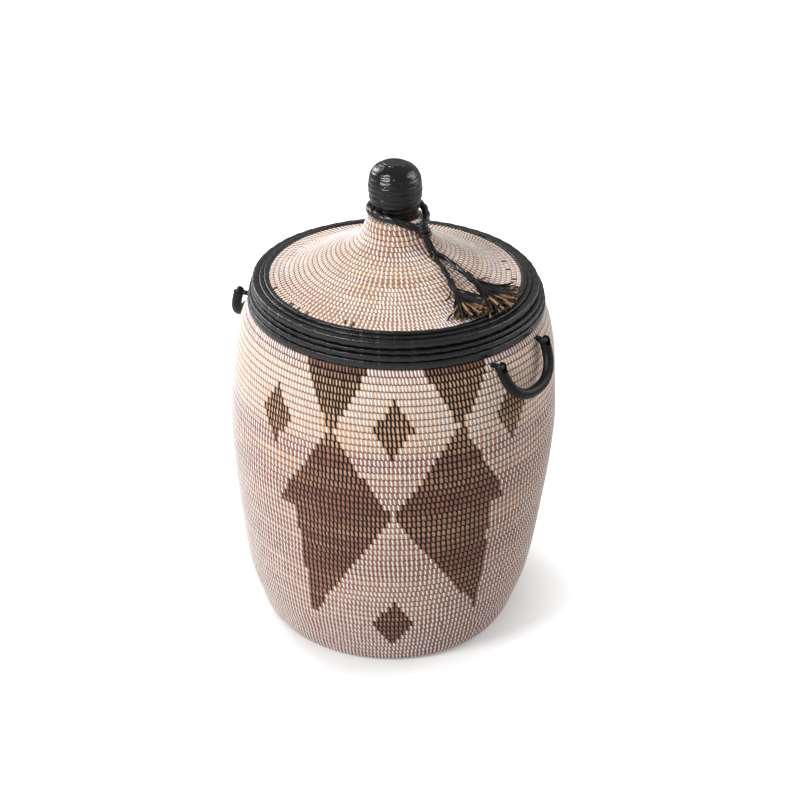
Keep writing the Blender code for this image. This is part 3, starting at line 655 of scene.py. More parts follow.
def lid_top(radius):
    """Height of the stitched top at a radius."""
    share = (np.asarray(radius) - NECK_RADIUS) / LID_RUN
    return LID_FOOT + LID_RISE * read_shares(LID_OUTLINE_SHARES, share)


def deck_height(radius):
    """Height of what lies below the fringe: the stitched lid, then the leather rows."""
    leather = np.where(radius > LID_EDGE_RADIUS - LEATHER_OVERLAP, LEATHER_TOP, 0.0)
    return np.maximum(lid_top(radius), leather)


print("the lid rises", round(LID_RISE * 1000), "mm over", round(LID_RUN * 1000), "mm")

# %% [markdown]
# ## The fringe
# The fringe is a bunch of thin leather strips, black on the face and raw tan along the cuts. Hair
# particles would lie like hair, so each strip is a flat tube of its own. It leaves the winding in
# the cord's direction, fans out, and comes to rest on the lid, some strips lifted a little above it.

# %% One strip of the fringe
FRINGE_CLEARANCE = 0.0017
SETTLE_LENGTH = 0.018
STRIP_RINGS = 22


def at_azimuth(radius, azimuth, height=0.0):
    """Points at a radius and an azimuth in radians, counted from the front towards +X."""
    x, y = radius * np.sin(azimuth), -radius * np.cos(azimuth)
    return np.stack(np.broadcast_arrays(x, y, height), axis=-1).astype(float)


def fringe_line(root, onward, tip, lift, wander, turns):
    """Curve (1-t)^2 root + 2t(1-t) (root + a onward) + t^2 tip on the deck, plus a wander."""
    share = np.linspace(0, 1, STRIP_RINGS)[:, None]
    reach = np.linalg.norm(tip - root)
    knee = root + onward * reach * 0.4
    line = (1 - share) ** 2 * root + 2 * share * (1 - share) * knee + share**2 * tip
    aside = unit(np.cross(tip - root, UP))
    line = line + aside * wander * np.sin(np.pi * share * turns) * share
    ground = deck_height(np.hypot(line[:, 0], line[:, 1])) + FRINGE_CLEARANCE
    settle = np.minimum(share[:, 0] * reach / SETTLE_LENGTH, 1)
    rest = ground + lift * np.sin(np.pi * np.minimum(share[:, 0] * 1.2, 1) * 0.5)
    line[:, 2] = np.maximum(ground, root[2] * (1 - settle) + rest * settle)
    return line


def strip_points(line, width, thickness, twist):
    """Flat strip along a line, turning slowly about it."""
    flat = np.array(((-0.5, -0.5), (0.5, -0.5), (0.5, 0.5), (-0.5, 0.5))) * (width, thickness)
    angle = np.linspace(0, twist, len(line))[:, None, None]
    x, y = flat[None, :, :1], flat[None, :, 1:]
    turned = (x * np.cos(angle) - y * np.sin(angle), x * np.sin(angle) + y * np.cos(angle))
    return sweep_points(line, np.concatenate(turned, axis=-1), UP)


print("a strip of the fringe has", STRIP_RINGS, "rings of 4 corners")

# %% [markdown]
# Every strip is drawn by chance within a few limits: its heading in the fan, its length, its root
# in the bunch, its lift over the others. One seed makes the same fringe each time. A few loose
# strips lie apart from the bunch and have routes of their own.

# %% Limits of chance
FRINGE_FANS = {
    "left": {"headings": (-4.0, 84.0), "lengths": (0.053, 0.048), "count": 84},
    "right": {"headings": (2.0, 104.0), "lengths": (0.070, 0.048), "count": 92},
}
HEADING_SPREAD = 2.5
CUT_SHARES = (0.80, 1.04)
ROOT_DEPTHS = (0.004, 0.013)
ROOT_HEIGHTS = (0.0005, 0.0034)
BUNCH_WIDTH = 0.0066
LIFTS = (0, 0.0095)
WANDER = 0.0022
WANDER_TURNS = (1, 3)
STRIP_WIDTHS = (0.0015, 0.0030)
STRIP_THICKNESS = 0.0008
STRIP_TWIST = 1.3
TAN_SHARE = 0.42
RAW_TAN, RAW_BLACK = (-2.6, 1.5), (-3.0, 0.40)
print("strips drawn:", sum(fan["count"] for fan in FRINGE_FANS.values()))

# %% Loose strips
LOOSE_WIDTH, LOOSE_THICKNESS, LOOSE_TWIST = 0.0013, 0.0009, 1.0
LOOSE_RAW, LOOSE_TONE = 0.15, 0.5
LOOSE_STRIPS = {
    "left": (
        (
            (0.0645, -0.0790, 0.4745),
            (0.0600, -0.0905, 0.4672),
            (0.0500, -0.0990, 0.4640),
            (0.0371, -0.1129, 0.4590),
        ),
    ),
    "right": (
        (
            (0.0905, -0.0555, 0.4735),
            (0.1060, -0.0520, 0.4660),
            (0.1220, -0.0480, 0.4605),
            (0.1390, -0.0285, 0.4590),
        ),
        (
            (0.0900, -0.0545, 0.4735),
            (0.0985, -0.0450, 0.4700),
            (0.1075, -0.0351, 0.4680),
        ),
        (
            (0.0905, -0.0575, 0.4740),
            (0.1060, -0.0620, 0.4670),
            (0.1200, -0.0600, 0.4640),
            (0.1290, -0.0520, 0.4600),
        ),
    ),
}
print("loose strips:", sum(len(routes) for routes in LOOSE_STRIPS.values()))

# %% Drawing one strip by chance


def between(pair, share):
    """Value a share of the way from the first of a pair to the second."""
    return pair[0] + share * (pair[1] - pair[0])


def drawn_strip(side, share, maker):
    """Points of one strip, whose place across the bunch and in the fan is the share."""
    fan, root, onward = FRINGE_FANS[side], fringe_roots[side], onwards[side]
    heading = math.radians(between(fan["headings"], share) + maker.normal(0, HEADING_SPREAD))
    reach = between(fan["lengths"], share) * maker.uniform(*CUT_SHARES)
    start = root - onward * maker.uniform(*ROOT_DEPTHS)
    across = unit(np.cross(onward, UP))
    start = start + across * (share - 0.5) * BUNCH_WIDTH + UP * maker.uniform(*ROOT_HEIGHTS)
    tip = root + at_azimuth(reach, heading)
    lift = maker.uniform(*LIFTS)
    wander, turns = maker.normal(0, WANDER), maker.uniform(*WANDER_TURNS)
    line = fringe_line(start, onward, tip, lift, wander, turns)
    width, twist = maker.uniform(*STRIP_WIDTHS), maker.normal(0, STRIP_TWIST)
    return strip_points(line, width, STRIP_THICKNESS, twist)


print("half way across, the left fan heads", between(FRINGE_FANS["left"]["headings"], 0.5), "degrees")

# %% The two fringes
FRINGE_SEED = 17

for side, fan in FRINGE_FANS.items():
    maker = np.random.default_rng(FRINGE_SEED)
    strips, raw, tones = [], [], []
    for number in range(fan["count"]):
        strips.append(drawn_strip(side, (number + 0.5) / fan["count"], maker))
        raw.append(np.linspace(*(RAW_TAN if maker.uniform() < TAN_SHARE else RAW_BLACK), STRIP_RINGS))
        tones.append(maker.uniform(0, 1))
    for route in LOOSE_STRIPS[side]:
        line = smooth_line(route, STRIP_RINGS)
        strips.append(strip_points(line, LOOSE_WIDTH, LOOSE_THICKNESS, LOOSE_TWIST))
        raw.append(np.full(STRIP_RINGS, LOOSE_RAW))
        tones.append(LOOSE_TONE)
    tube_mesh(
        f"tassel_strips_{side}", np.array(strips), ("leather_fringe", "tassel", "leather_fringe"),
        (f"tassel_fringe_{side}",),
        values={"raw": np.array(raw)[:, :, None], "tone": np.array(tones)[:, None, None]},
    )
    print(side, "fringe", len(strips), "strips")

for side, line in strand_lines.items():
    float(along(line)[-1])

# %% [markdown]
# ## The loop and the knot
# The loop round the knob's neck is a thicker twisted cord. It sinks and widens towards the knot,
# where its two ends meet the tassel's cords. A pull that fades like a bell curve on both sides
# gives that shape without choosing points.

# %% The loop
LOOP_RADIUS = 0.0040
LOOP_SWELL = 1.12
LOOP_LAY = 0.042
LOOP_HOLLOW = 0.22
LOOP_PLACE = 0.0314
LOOP_HEIGHT = 0.5379
LOOP_WIDENS = 0.0085
LOOP_SINKS = 0.0105
LOOP_PULL_DEGREES = 38
KNOT_AZIMUTH = math.radians(46.0)
KNOT_RADIUS = 0.0083
KNOT_HIDES = KNOT_RADIUS * 0.55
knot_place = (np.array(lowest("tassel_knot")) + np.array(highest("tassel_knot"))) / 2


def loop_line():
    """Ring whose radius grows and height falls by exp(-(angle from the knot / 38 degrees)^2)."""
    turn = np.linspace(0, 2 * np.pi, 241)[1:-1]
    away = np.degrees(np.minimum(turn, 2 * np.pi - turn))
    pull = np.exp(-((away / LOOP_PULL_DEGREES) ** 2))
    radius, height = LOOP_PLACE + LOOP_WIDENS * pull, LOOP_HEIGHT - LOOP_SINKS * pull
    line = at_azimuth(radius, KNOT_AZIMUTH + turn, height)
    return line[np.linalg.norm(line - knot_place, axis=1) > KNOT_HIDES]


line = loop_line()
sections = twisted_sections(line, LOOP_RADIUS * LOOP_SWELL, 3, LOOP_LAY, LOOP_HOLLOW, 28)
tube_mesh("tassel_loop_cord", sweep_points(line, sections, UP), TASSEL_LEATHER, ("tassel_loop",))
print("loop", round(along(line)[-1] * 1000), "mm long")

# %% [markdown]
# A thong wound three times round the loop's ends and the cords makes the knot. Its true path, in
# and out under itself, is hidden, so three closed turns side by side, each a little tilted, lie
# over a core that fills them.

# %% The knot
KNOT_TURNS = ((-0.0043, 0.25, 0.0046), (0.0, -0.20, 0.0052), (0.0043, 0.22, 0.0048))
KNOT_SKEW = 300
THONG_RADIUS = 0.0031
CORE_RADIUS, CORE_HALF_LENGTH = 0.0060, 0.0080
CORE_ACROSS = np.array((0.0, 1.0, 0.2))


def knot_wraps(axis):
    """Closed turns knot + r (cos t, sin t) + axis (place + tilt r cos t), in the tilted plane."""
    side = unit(np.cross(axis, UP))
    front = np.cross(axis, side)
    turn = np.linspace(0, 2 * np.pi, 40, endpoint=False)[:, None]
    out = side * np.cos(turn) + front * np.sin(turn)
    for place, tilt, radius in KNOT_TURNS:
        lean = place + tilt * radius * np.cos(turn + place * KNOT_SKEW)
        yield closed_sweep(knot_place + out * radius + axis * lean, THONG_RADIUS, 14, axis)


axis = unit(np.array(STRAND_ROUTES["left"][0]) + STRAND_ROUTES["right"][0] - 2 * knot_place)
wraps = np.array(list(knot_wraps(axis)))
tube_mesh("tassel_knot_wraps", wraps, TASSEL_LEATHER, ("tassel_knot",), closed=True)
way = np.linspace(-1, 1, 25)[:, None]
bulge = np.sqrt(1 - way[:, 0] ** 2 * 0.998)[:, None, None] * circle(20) * CORE_RADIUS
core = sweep_points(knot_place + axis * way * CORE_HALF_LENGTH, bulge, CORE_ACROSS)
tube_mesh("tassel_knot_core", core, TASSEL_LEATHER)
print("knot of", len(wraps), "turns")

# %% [markdown]
# ## The coil
# A bundle of grass as thick as a finger is wound in a spiral along the outline. A true helix would
# make every row slope a little. The maker hides the step from row to row at the back, so here too
# each round is level and steps one row down behind the basket. The bundle fades in at its first
# step and out at its last.

# %% Level rounds with a step at the back
BACK = math.pi
STEP_SPREAD = 0.20


def hump(across):
    """Height of the bundle's round side, (1 - |y|^3)^(1/3): 1 on the crest and 0 at its edges."""
    return np.cbrt(np.clip(1 - np.abs(across) ** 3, 0, 1))


def rows_wound(turns):
    """Rows wound after so many turns: level rounds, joined by steps of half a sine wave."""
    whole = np.round(turns)
    return whole + 0.5 + 0.5 * np.sin(np.clip((turns - whole) / STEP_SPREAD, -1, 1) * np.pi / 2)


print("rows wound after 0, 0.4 and 1 turn:", rows_wound(np.array((0.0, 0.4, 1.0))))

# %% A coil along an outline


def upright(height):
    """No lean at any height."""
    return 0.0


class Coil:
    """One long bundle wound along an outline of (radius, height) points."""

    def __init__(self, outline, rows, thickness, groove, body, slot, lean=upright):
        self.line = np.asarray(outline)
        self.places = along(self.line)
        slopes = np.gradient(self.line, axis=0)
        outwards = np.column_stack([-slopes[:, 1], slopes[:, 0]])
        self.outwards = outwards / np.linalg.norm(outwards, axis=1)[:, None]
        self.rows = rows
        self.row = self.places[-1] / rows
        self.thickness = thickness
        self.groove = groove
        self.body = body
        self.slot = slot
        self.lean = lean

    def radius(self, rows_down):
        return np.interp(rows_down * self.row, self.places, self.line[:, 0])

    def place(self, rows_down, azimuth, depth):
        """Point L(s) - d n(s) turned to the azimuth, where s is the way down in metres."""
        way = rows_down * self.row
        out = np.interp(way, self.places, self.outwards[:, 0])
        up = np.interp(way, self.places, self.outwards[:, 1])
        radius = np.interp(way, self.places, self.line[:, 0]) - depth * out
        height = np.interp(way, self.places, self.line[:, 1]) - depth * up
        x = radius * np.sin(azimuth) + self.lean(height)
        return np.stack(np.broadcast_arrays(x, -radius * np.cos(azimuth), height), axis=-1)

    def band(self, turns):
        """Middle and half height, in rows, of the bundle after so many turns."""
        wound = rows_wound(turns)
        upper = np.clip(wound - 1, 0, self.rows)
        lower = np.clip(wound, 0, self.rows)
        return (upper + lower) / 2, (lower - upper) / 2


print("a coil can tell:", ", ".join(name for name in vars(Coil) if not name.startswith("_")))

# %% [markdown]
# The bundle is one long closed tube, round on both faces and flat between its rows, so it has no
# seam where rows meet. Grass from different stacks gives each row its own tint.

# %% The bundle as a mesh
SECTION_ACROSS = np.array((-1.0, -0.86, -0.5, 0.0, 0.5, 0.86, 1.0, 0.86, 0.0, -0.86))
SECTION_INSIDE = np.array((0, 0, 0, 0, 0, 0, 0, 1, 1, 1))
FADE = STEP_SPREAD * 0.9


def row_tints(rows, seed):
    """One colour share for each row, most of them near the middle."""
    return np.random.default_rng(seed).beta(1.6, 1.6, rows + 3)


def coil_mesh(name, coil, steps_round, look, replaced, tints):
    """Section of the bundle at every step, placed by the coil, with its tint and hump kept."""
    turns = np.linspace(-FADE, coil.rows + FADE, int((coil.rows + 0.5) * steps_round))[:, None]
    middle, half = coil.band(turns)
    height = hump(SECTION_ACROSS)
    outer = coil.groove * (1 - height)
    inner = coil.thickness - coil.groove * 0.5 * (1 - height)
    depth = np.where(SECTION_INSIDE, inner, outer)
    points = coil.place(middle + half * SECTION_ACROSS, BACK + 2 * np.pi * turns, depth)
    steps = np.gradient(turns[:, 0]) * 2 * np.pi * coil.radius(middle[:, 0])
    tint = np.interp(turns[:, 0], np.arange(len(tints)), tints)
    values = {"tint": tint[None, :, None], "hump": height[None, None, :]}
    kind = (look, coil.body, coil.slot)
    tube_mesh(name, points, kind, (replaced,), along_m=np.cumsum(steps), values=values)
    print(name, "has", coil.rows, "rows of", round(coil.row * 1000, 2), "mm")


# %% [markdown]
# ## The stitches
# Each stitch is a flat strip that comes up between two bundles, lies over one on a slant, and
# dives in below it. The next row's stitch starts where it ends, so the stitches stand in columns.
# Copies at equal angles would drift apart from row to row. Here a row's columns are spread evenly
# from those above, a new one joins where the basket widens, and one ends where it narrows.

# %% Columns of stitches
SHORTEST_HALF = 0.18
random = np.random.default_rng(11)


def stitch_turns(counts, seed):
    """Turns of the stitches, row by row: each row's columns spread evenly from the one above."""
    maker = np.random.default_rng(seed)
    columns = np.linspace(0, 1, counts[0], endpoint=False)
    found = []
    for row, wanted in enumerate([counts[0], *counts, counts[-1]], -1):
        gaps = np.diff(np.append(columns, columns[0] + 1)) * len(columns)
        gaps += maker.normal(0, 0.35, len(columns))
        missing = wanted - len(columns)
        if missing > 0:
            widest = np.argsort(gaps)[-missing:]
            ends = np.append(columns, columns[0] + 1)
            columns = np.sort(np.append(columns, (ends[widest] + ends[widest + 1]) / 2))
        elif missing < 0:
            columns = np.delete(columns, np.argsort(gaps)[:-missing])
        for _ in range(8):
            before = np.append(columns[-1] - 1, columns[:-1])
            after = np.append(columns[1:], columns[0] + 1)
            columns = columns / 2 + (before + after) / 4
        found.append(row + columns % 1)
    return np.concatenate(found)


def sewn_places(coil, counts, seed):
    """Turns and middles of the stitches, but for those where the bundle has faded out."""
    turns = stitch_turns(counts, seed)
    middle, half = coil.band(turns)
    return turns[half > SHORTEST_HALF], middle[half > SHORTEST_HALF]


def spread(middle, share, count):
    """Random widths about a middle one."""
    return middle * random.normal(1.0, share, count)


print("columns of 4, 6 and 5:", len(stitch_turns([4, 6, 5], 0)), "stitches with both ends")

# %% [markdown]
# A stitch has a few stations from the groove above to the groove below, with four corners each.
# Black strips spread where they dive in, and white ones are pulled thin. Thousands of them stay
# light as meshes, because each has only some twenty faces.

# %% Strips as meshes
STATIONS = np.array((-1.0, -0.8, -0.4, 0.4, 0.8, 1.0))
INNER_STATIONS = np.array((-0.9, 0.0, 0.9))
CORNERS_ACROSS = np.array((-0.5, -0.3, 0.3, 0.5))
CORNERS_UP = np.array((-0.3, 1, 1, -0.3))
STITCH_LIFT = 0.00038
STITCH_SLANT = 0.0010
STITCH_BRIDGE = 0.5
STITCH_AROUND = np.linspace(0, 0.005, 5)
FEET = {"strip_black": 0.40, "strip_white": -0.30, "strip_lid": -0.30}
WHITE_WIDTH, BLACK_WIDTH, WIDTH_SPREAD = 0.0024, 0.0026, 0.05
INNERMOST = 0.004


def stitch_points(coil, sewn, stations, foot, inside):
    """points[stitch, station, corner]; a strip's width grows by 1 + foot y^4 to both ends."""
    turns, shift, width = sewn[:, :, None, None]
    middle, half = coil.band(turns)
    across = stations[None, :, None]
    taper = 1 + foot * across**4
    slant = STITCH_SLANT * (0.6 * across + 0.4 * across**3)
    sideways = shift + slant + CORNERS_ACROSS * taper * width
    lift = STITCH_LIFT * CORNERS_UP
    dip = coil.groove * STITCH_BRIDGE * (1 - hump(across))
    depth = coil.thickness - dip + lift if inside else dip - lift
    azimuth = BACK + 2 * np.pi * turns + sideways / np.maximum(coil.radius(middle), INNERMOST)
    return coil.place(middle + half * across, azimuth, depth)


def stitches(name, coil, sewn, look, inside=False):
    """One piece of many strips; sewn holds the turns, the shifts and the widths."""
    stations = INNER_STATIONS if inside else STATIONS
    values = {
        "tone": random.uniform(0, 1, sewn.shape[1])[:, None, None],
        "hump": np.sqrt(hump(stations))[None, :, None],
    }
    points = stitch_points(coil, sewn, stations, FEET[look], inside)
    length = np.linspace(0, coil.row, len(stations))
    kind = (look, coil.body, coil.slot)
    tube_mesh(name, points, kind, along_m=length, around_m=STITCH_AROUND, values=values)


print("a stitch has", len(STATIONS), "stations outside and", len(INNER_STATIONS), "inside")

# %% [markdown]
# ## The figures
# The maker counts stitches: a figure grows or shrinks by the same number of black stitches in
# each row. A picture laid round the basket would cut stitches in two, so each stitch is black or
# white as a whole, by where its middle lies. Corners are (degrees from the front, rows down).

# %% Which stitches are black
FIGURES = (
    ((9.8, 0.0), (35.4, 0.0), (22.9, 9.0)),
    ((-9.4, 0.0), (-33.4, 0.0), (-21.4, 10.1)),
    ((22.9, 8.0), (41.6, 22.0), (35.6, 22.0), (35.6, 42.0), (0.5, 22.1)),
    ((-21.4, 9.0), (-41.3, 22.9), (-33.6, 22.9), (-29.4, 42.6), (0.5, 22.1)),
    ((0.1, 4.0), (6.7, 8.5), (0.1, 13.0), (-6.5, 8.5)),
    ((43.9, 4.0), (50.6, 8.5), (43.9, 13.0), (37.2, 8.5)),
    ((-43.6, 5.0), (-36.9, 9.5), (-43.6, 14.0), (-50.3, 9.5)),
    ((2.3, 38.0), (10.1, 42.5), (2.3, 47.0), (-5.5, 42.5)),
)


def inside_figure(corners, x, y):
    """Even-odd rule: how many sides of the outline a ray along +x crosses, as odd or even."""
    corners = np.array(corners)
    odd = np.zeros(x.shape, bool)
    for (x0, y0), (x1, y1) in zip(corners, np.roll(corners, -1, axis=0)):
        if y0 != y1:
            at = x0 + (y - y0) * (x1 - x0) / (y1 - y0)
            odd ^= (y >= min(y0, y1)) & (y < max(y0, y1)) & (x < at)
    return odd


def is_dark(degrees, rows_down):
    """Whether a stitch is black. The figures stand on the front and again on the back."""
    dark = np.zeros(degrees.shape, bool)
    for turn in (0.0, 180.0):
        x = (degrees - turn + 180.0) % 360.0 - 180.0
        for corners in FIGURES:
            dark |= inside_figure(corners, x, rows_down)
    return dark


print(len(FIGURES), "figures in front and as many behind")

# %% [markdown]
# ## The wall
# The wall winds down from the mouth. By hand it never comes out quite straight: this one leans a
# few millimetres to one side at its foot. Its upper rows are of pale straw, the lower ones of
# redder grass.

# %% The wall's bundle
BELLY_RADIUS = 0.200
WALL_TOP = highest("wall_coil")[2]
WALL_ROWS = 52
TINT_SPREAD = 0.75
STRAW_ROWS, STRAW_SPREAD, STRAW_TINT = slice(2, 12), 0.45, -0.06
TOP_TINT, GRASS_TINT = 0.25, 0.34
COIL_THICKNESS = 0.0081
COIL_GROOVE = 0.0019
LEAN_HEIGHTS = (0.0, 0.208, 0.416)
BODY_LEANS = (-0.0046, -0.0015, 0.0016)
WALL_OUTLINE_SHARES = (
    (0.0, 0.780),
    (0.012, 0.806),
    (0.08, 0.857),
    (0.155, 0.902),
    (0.235, 0.929),
    (0.39, 0.965),
    (0.53, 0.991),
    (0.645, 1.0),
    (0.77, 0.982),
    (0.87, 0.961),
    (0.915, 0.943),
    (0.95, 0.925),
    (0.98, 0.899),
    (1.0, 0.880),
)


def body_lean(height):
    """Way that the body leans to +X, read between its foot, its middle and its mouth."""
    return np.interp(height, LEAN_HEIGHTS, BODY_LEANS)


heights = np.linspace(WALL_TOP, 0, 800)
wall_radii = BELLY_RADIUS * read_shares(WALL_OUTLINE_SHARES, heights / WALL_TOP)
wall_line = np.column_stack([wall_radii, heights])
wall = Coil(
    wall_line, WALL_ROWS, COIL_THICKNESS, COIL_GROOVE, "basket_body", "seagrass", body_lean
)
wall_tints = row_tints(WALL_ROWS, 3) * TINT_SPREAD
wall_tints[STRAW_ROWS] = wall_tints[STRAW_ROWS] * STRAW_SPREAD + STRAW_TINT
wall_tints[: STRAW_ROWS.start] += TOP_TINT
wall_tints[STRAW_ROWS.stop :] += GRASS_TINT
coil_mesh("wall_grass", wall, 150, "grass_wall", "wall_coil", wall_tints)

# %% [markdown]
# The columns wander a little, as they do by hand, and the stitches are crowded on the front's
# left and spread on its right, where the strips were pulled less tight. Slow waves of several
# lengths added up give that wander, and close on themselves round the basket.

# %% Places and colours of the wall's stitches
COUNTED_ROWS = (0, 5, 9, 15, 28, 51)
COUNTED_STITCHES = (260, 260, 248, 226, 224, 208)
DRIFT = 0.0052
WANDER_SHARE = 0.3
STITCH_CHANCE = 0.04
CROWDING = 0.05
CROWDING_TURN = math.radians(50.0)


def ripple(angle, waves, seed):
    """Sum of sin(k a + phase_k) / k over a few wave numbers k, a smooth closed wander."""
    phases = np.random.default_rng(seed).uniform(0, 2 * np.pi, len(waves))
    total = sum(np.sin(k * angle + phase) / k for k, phase in zip(waves, phases))
    return total / sum(1 / k for k in waves)


wall_counts = np.interp(np.arange(WALL_ROWS), COUNTED_ROWS, COUNTED_STITCHES)
turns, middle = sewn_places(wall, [int(count) for count in wall_counts], 2)
angle = 2 * np.pi * turns
round_wander = ripple(angle + middle * 0.11, (3, 5, 8, 13), 5)
down_wander = ripple(middle * 0.35, (1, 2, 3), 6)
drift = round_wander * WANDER_SHARE + down_wander * WANDER_SHARE
shift = DRIFT * (drift + random.normal(0, STITCH_CHANCE, len(turns)))
shift -= CROWDING * wall.radius(middle) * np.sin(2 * (BACK + angle) + CROWDING_TURN)
dark = is_dark(np.degrees(BACK + angle + shift / wall.radius(middle)), middle)
width = spread(np.where(dark, BLACK_WIDTH, WHITE_WIDTH), WIDTH_SPREAD, len(turns))
sewn = np.array([turns, shift, width])
print(len(turns), "stitches on the wall,", int(dark.sum()), "of them black")

# %% The wall's strips
QUARTER = WALL_ROWS / 4

for part in range(4):
    chosen = ~dark & (middle // QUARTER == part)
    stitches(f"wall_stitches_{part + 1}", wall, sewn[:, chosen], "strip_white")
for label, chosen, look in (
    ("upper", ~dark & (middle < WALL_ROWS / 2), "strip_white"),
    ("lower", ~dark & (middle >= WALL_ROWS / 2), "strip_white"),
    ("dark", dark, "strip_black"),
):
    stitches(f"wall_inner_stitches_{label}", wall, sewn[:, chosen], look, inside=True)
stitches("wall_stitches_dark", wall, sewn[:, dark], "strip_black")
print("the wall's strips are 8 pieces")

# %% [markdown]
# The base is the same coil, flat, from its middle outwards. It sits inside the lowest row, and
# its stitches stand a fixed distance apart, so that their number grows with each round.

# %% The base
BASE_ROWS = 17
BASE_RADIUS, _, BASE_THICKNESS = highest("base_coil")
BASE_EYE = 0.002
BASE_GROOVE = COIL_GROOVE * 0.7
STITCH_GAP = 0.0049
FEWEST = 6


def even_counts(coil):
    """Stitches in each row where they stand a fixed distance apart: 2 pi r / gap."""
    radii = coil.radius(np.arange(coil.rows) + 0.5)
    return [int(count) for count in np.maximum(FEWEST, np.round(2 * np.pi * radii / STITCH_GAP))]


base_line = np.column_stack([np.linspace(BASE_EYE, BASE_RADIUS, 200), np.full(200, BASE_THICKNESS)])
base = Coil(
    base_line, BASE_ROWS, BASE_THICKNESS, BASE_GROOVE, "basket_body", "seagrass", body_lean
)
coil_mesh("base_grass", base, 120, "grass_wall", "base_coil", row_tints(BASE_ROWS, 4))
base_turns, _ = sewn_places(base, even_counts(base), 8)
base_width = spread(WHITE_WIDTH, WIDTH_SPREAD, len(base_turns))
base_sewn = np.array([base_turns, base_turns * 0, base_width])
stitches("base_stitches_upper", base, base_sewn, "strip_white")
stitches("base_stitches_under", base, base_sewn, "strip_white", inside=True)
print(len(base_turns), "stitches on the base")

# %% [markdown]
# ## The lid
# The lid's coil starts flat under the knob, flares down like a tent and ends inside the leather
# rows, and its top leans a little. It is the same coil along another outline. A few black
# stitches show where the maker tied a new strip in.

# %% The lid's bundle
LID_PITCH = 0.00615
LID_GROOVE = 0.0012
LID_EYE = 0.002
LID_LEAN_HEIGHTS = (0.505, 0.595)
LID_LEANS = (0.0, -0.0026)


def lid_lean(height):
    """Way that the lid leans to +X, from none where it grows steep to most at the knob's top."""
    return np.interp(height, LID_LEAN_HEIGHTS, LID_LEANS)


flat_radii = np.linspace(LID_EYE, NECK_RADIUS, 60)
lid_radii = np.concatenate([flat_radii, np.linspace(NECK_RADIUS, LID_EDGE_RADIUS, 500)[1:]])
lid_line = np.column_stack([lid_radii, lid_top(lid_radii)])
lid_rows = round(along(lid_line)[-1] / LID_PITCH)
lid = Coil(lid_line, lid_rows, LID_PITCH, LID_GROOVE, "lid", "seagrass_lid", lid_lean)
coil_mesh("lid_grass", lid, 140, "grass_lid", "lid_coil", row_tints(lid_rows, 9) * 0.8 + 0.05)

# %% The lid's strips
LID_DRIFT = 0.00018
TIE_REACH = 0.55
LID_TIES = (
    (-72.8, -70.6, 28.4),
    (-55.0, -51.5, 29.0),
    (-49.5, -46.5, 28.9),
    (-43.4, -41.0, 28.8),
    (-24.2, -22.0, 27.6),
    (-19.9, -17.6, 28.0),
    (74.3, 76.3, 28.1),
    (81.9, 83.9, 27.3),
    (92.6, 94.4, 26.6),
    (102.1, 103.9, 26.6),
)

lid_turns, lid_middle = sewn_places(lid, even_counts(lid), 12)
lid_shift = random.normal(0, LID_DRIFT, len(lid_turns))
lid_sewn = np.array([lid_turns, lid_shift, spread(WHITE_WIDTH, WIDTH_SPREAD, len(lid_turns))])
degrees = (np.degrees(BACK + 2 * np.pi * lid_turns) + 180) % 360 - 180
tied = np.zeros(len(lid_turns), bool)
for first, last, row in LID_TIES:
    tied |= (degrees > first) & (degrees < last) & (np.abs(lid_middle - row) < TIE_REACH)
stitches("lid_stitches", lid, lid_sewn[:, ~tied], "strip_lid")
stitches("lid_stitches_dark", lid, lid_sewn[:, tied], "strip_black")
stitches("lid_inner_stitches", lid, lid_sewn, "strip_lid", inside=True)
print(len(lid_turns), "stitches on the lid,", int(tied.sum()), "black")

# %% [markdown]
# ## Leather rows
# The last rows at the mouth and at the lid's edge are covered with a leather strip, wound round
# the bundle so that each turn laps over the one before. The laps catch the light as a row of
# short steps, which a bump alone would lose at the outline, so they are in the ring's shape.

# %% Rings of wound leather
RIM_STRIP = 0.019
LAP_SLANT = 0.35
LAP_STEEPNESS = 6
LAP_HEIGHT = 0.00044
RIM_UNEVEN = 0.0003
RIM_SINK = 0.00022
BODY_ROW_WIDTH = 0.0084
RIM_STEPS, RIM_CORNERS = 640, 20
BODY_SQUARENESS, LID_SQUARENESS = 0.34, 0.50


def rounded(value, power):
    """Sign of a value times its size to a power: rounds a sine, or squares it below 1."""
    return np.sign(value) * np.abs(value) ** power


def leather_ring(name, node, width, body, seed, lean, power):
    """Bundle of a node's size with a wound cover: r(u, v) = section + lap((u + slant v) / strip)."""
    low, high = np.array(lowest(node)), np.array(highest(node))
    outer = (high[0] - low[0]) / 2
    azimuth = np.linspace(0, 2 * np.pi, RIM_STEPS, endpoint=False)[:, None]
    turn = 2 * np.pi * np.arange(RIM_CORNERS)[None, :] / RIM_CORNERS
    laps = round(2 * np.pi * outer / RIM_STRIP)
    phase = (azimuth * laps / (2 * np.pi) + turn / (2 * np.pi) * LAP_SLANT) % 1
    lap = np.minimum(phase * LAP_STEEPNESS, 1) * (1 - phase) * LAP_HEIGHT
    swell = ripple(azimuth, (7, 11, 23, 41), seed) * RIM_UNEVEN + lap - RIM_SINK
    radius = outer - width / 2 + rounded(np.cos(turn), power) * (width / 2 + swell)
    half_height = (high[2] - low[2]) / 2
    rise = (low[2] + high[2]) / 2 + rounded(np.sin(turn), power) * (half_height + swell)
    points = at_azimuth(radius, azimuth, rise)
    points[..., 0] += lean
    tube_mesh(name, points, ("leather_rim", body, "leather_rim"), (node,), closed=True)
    print(name, "has", laps, "laps")


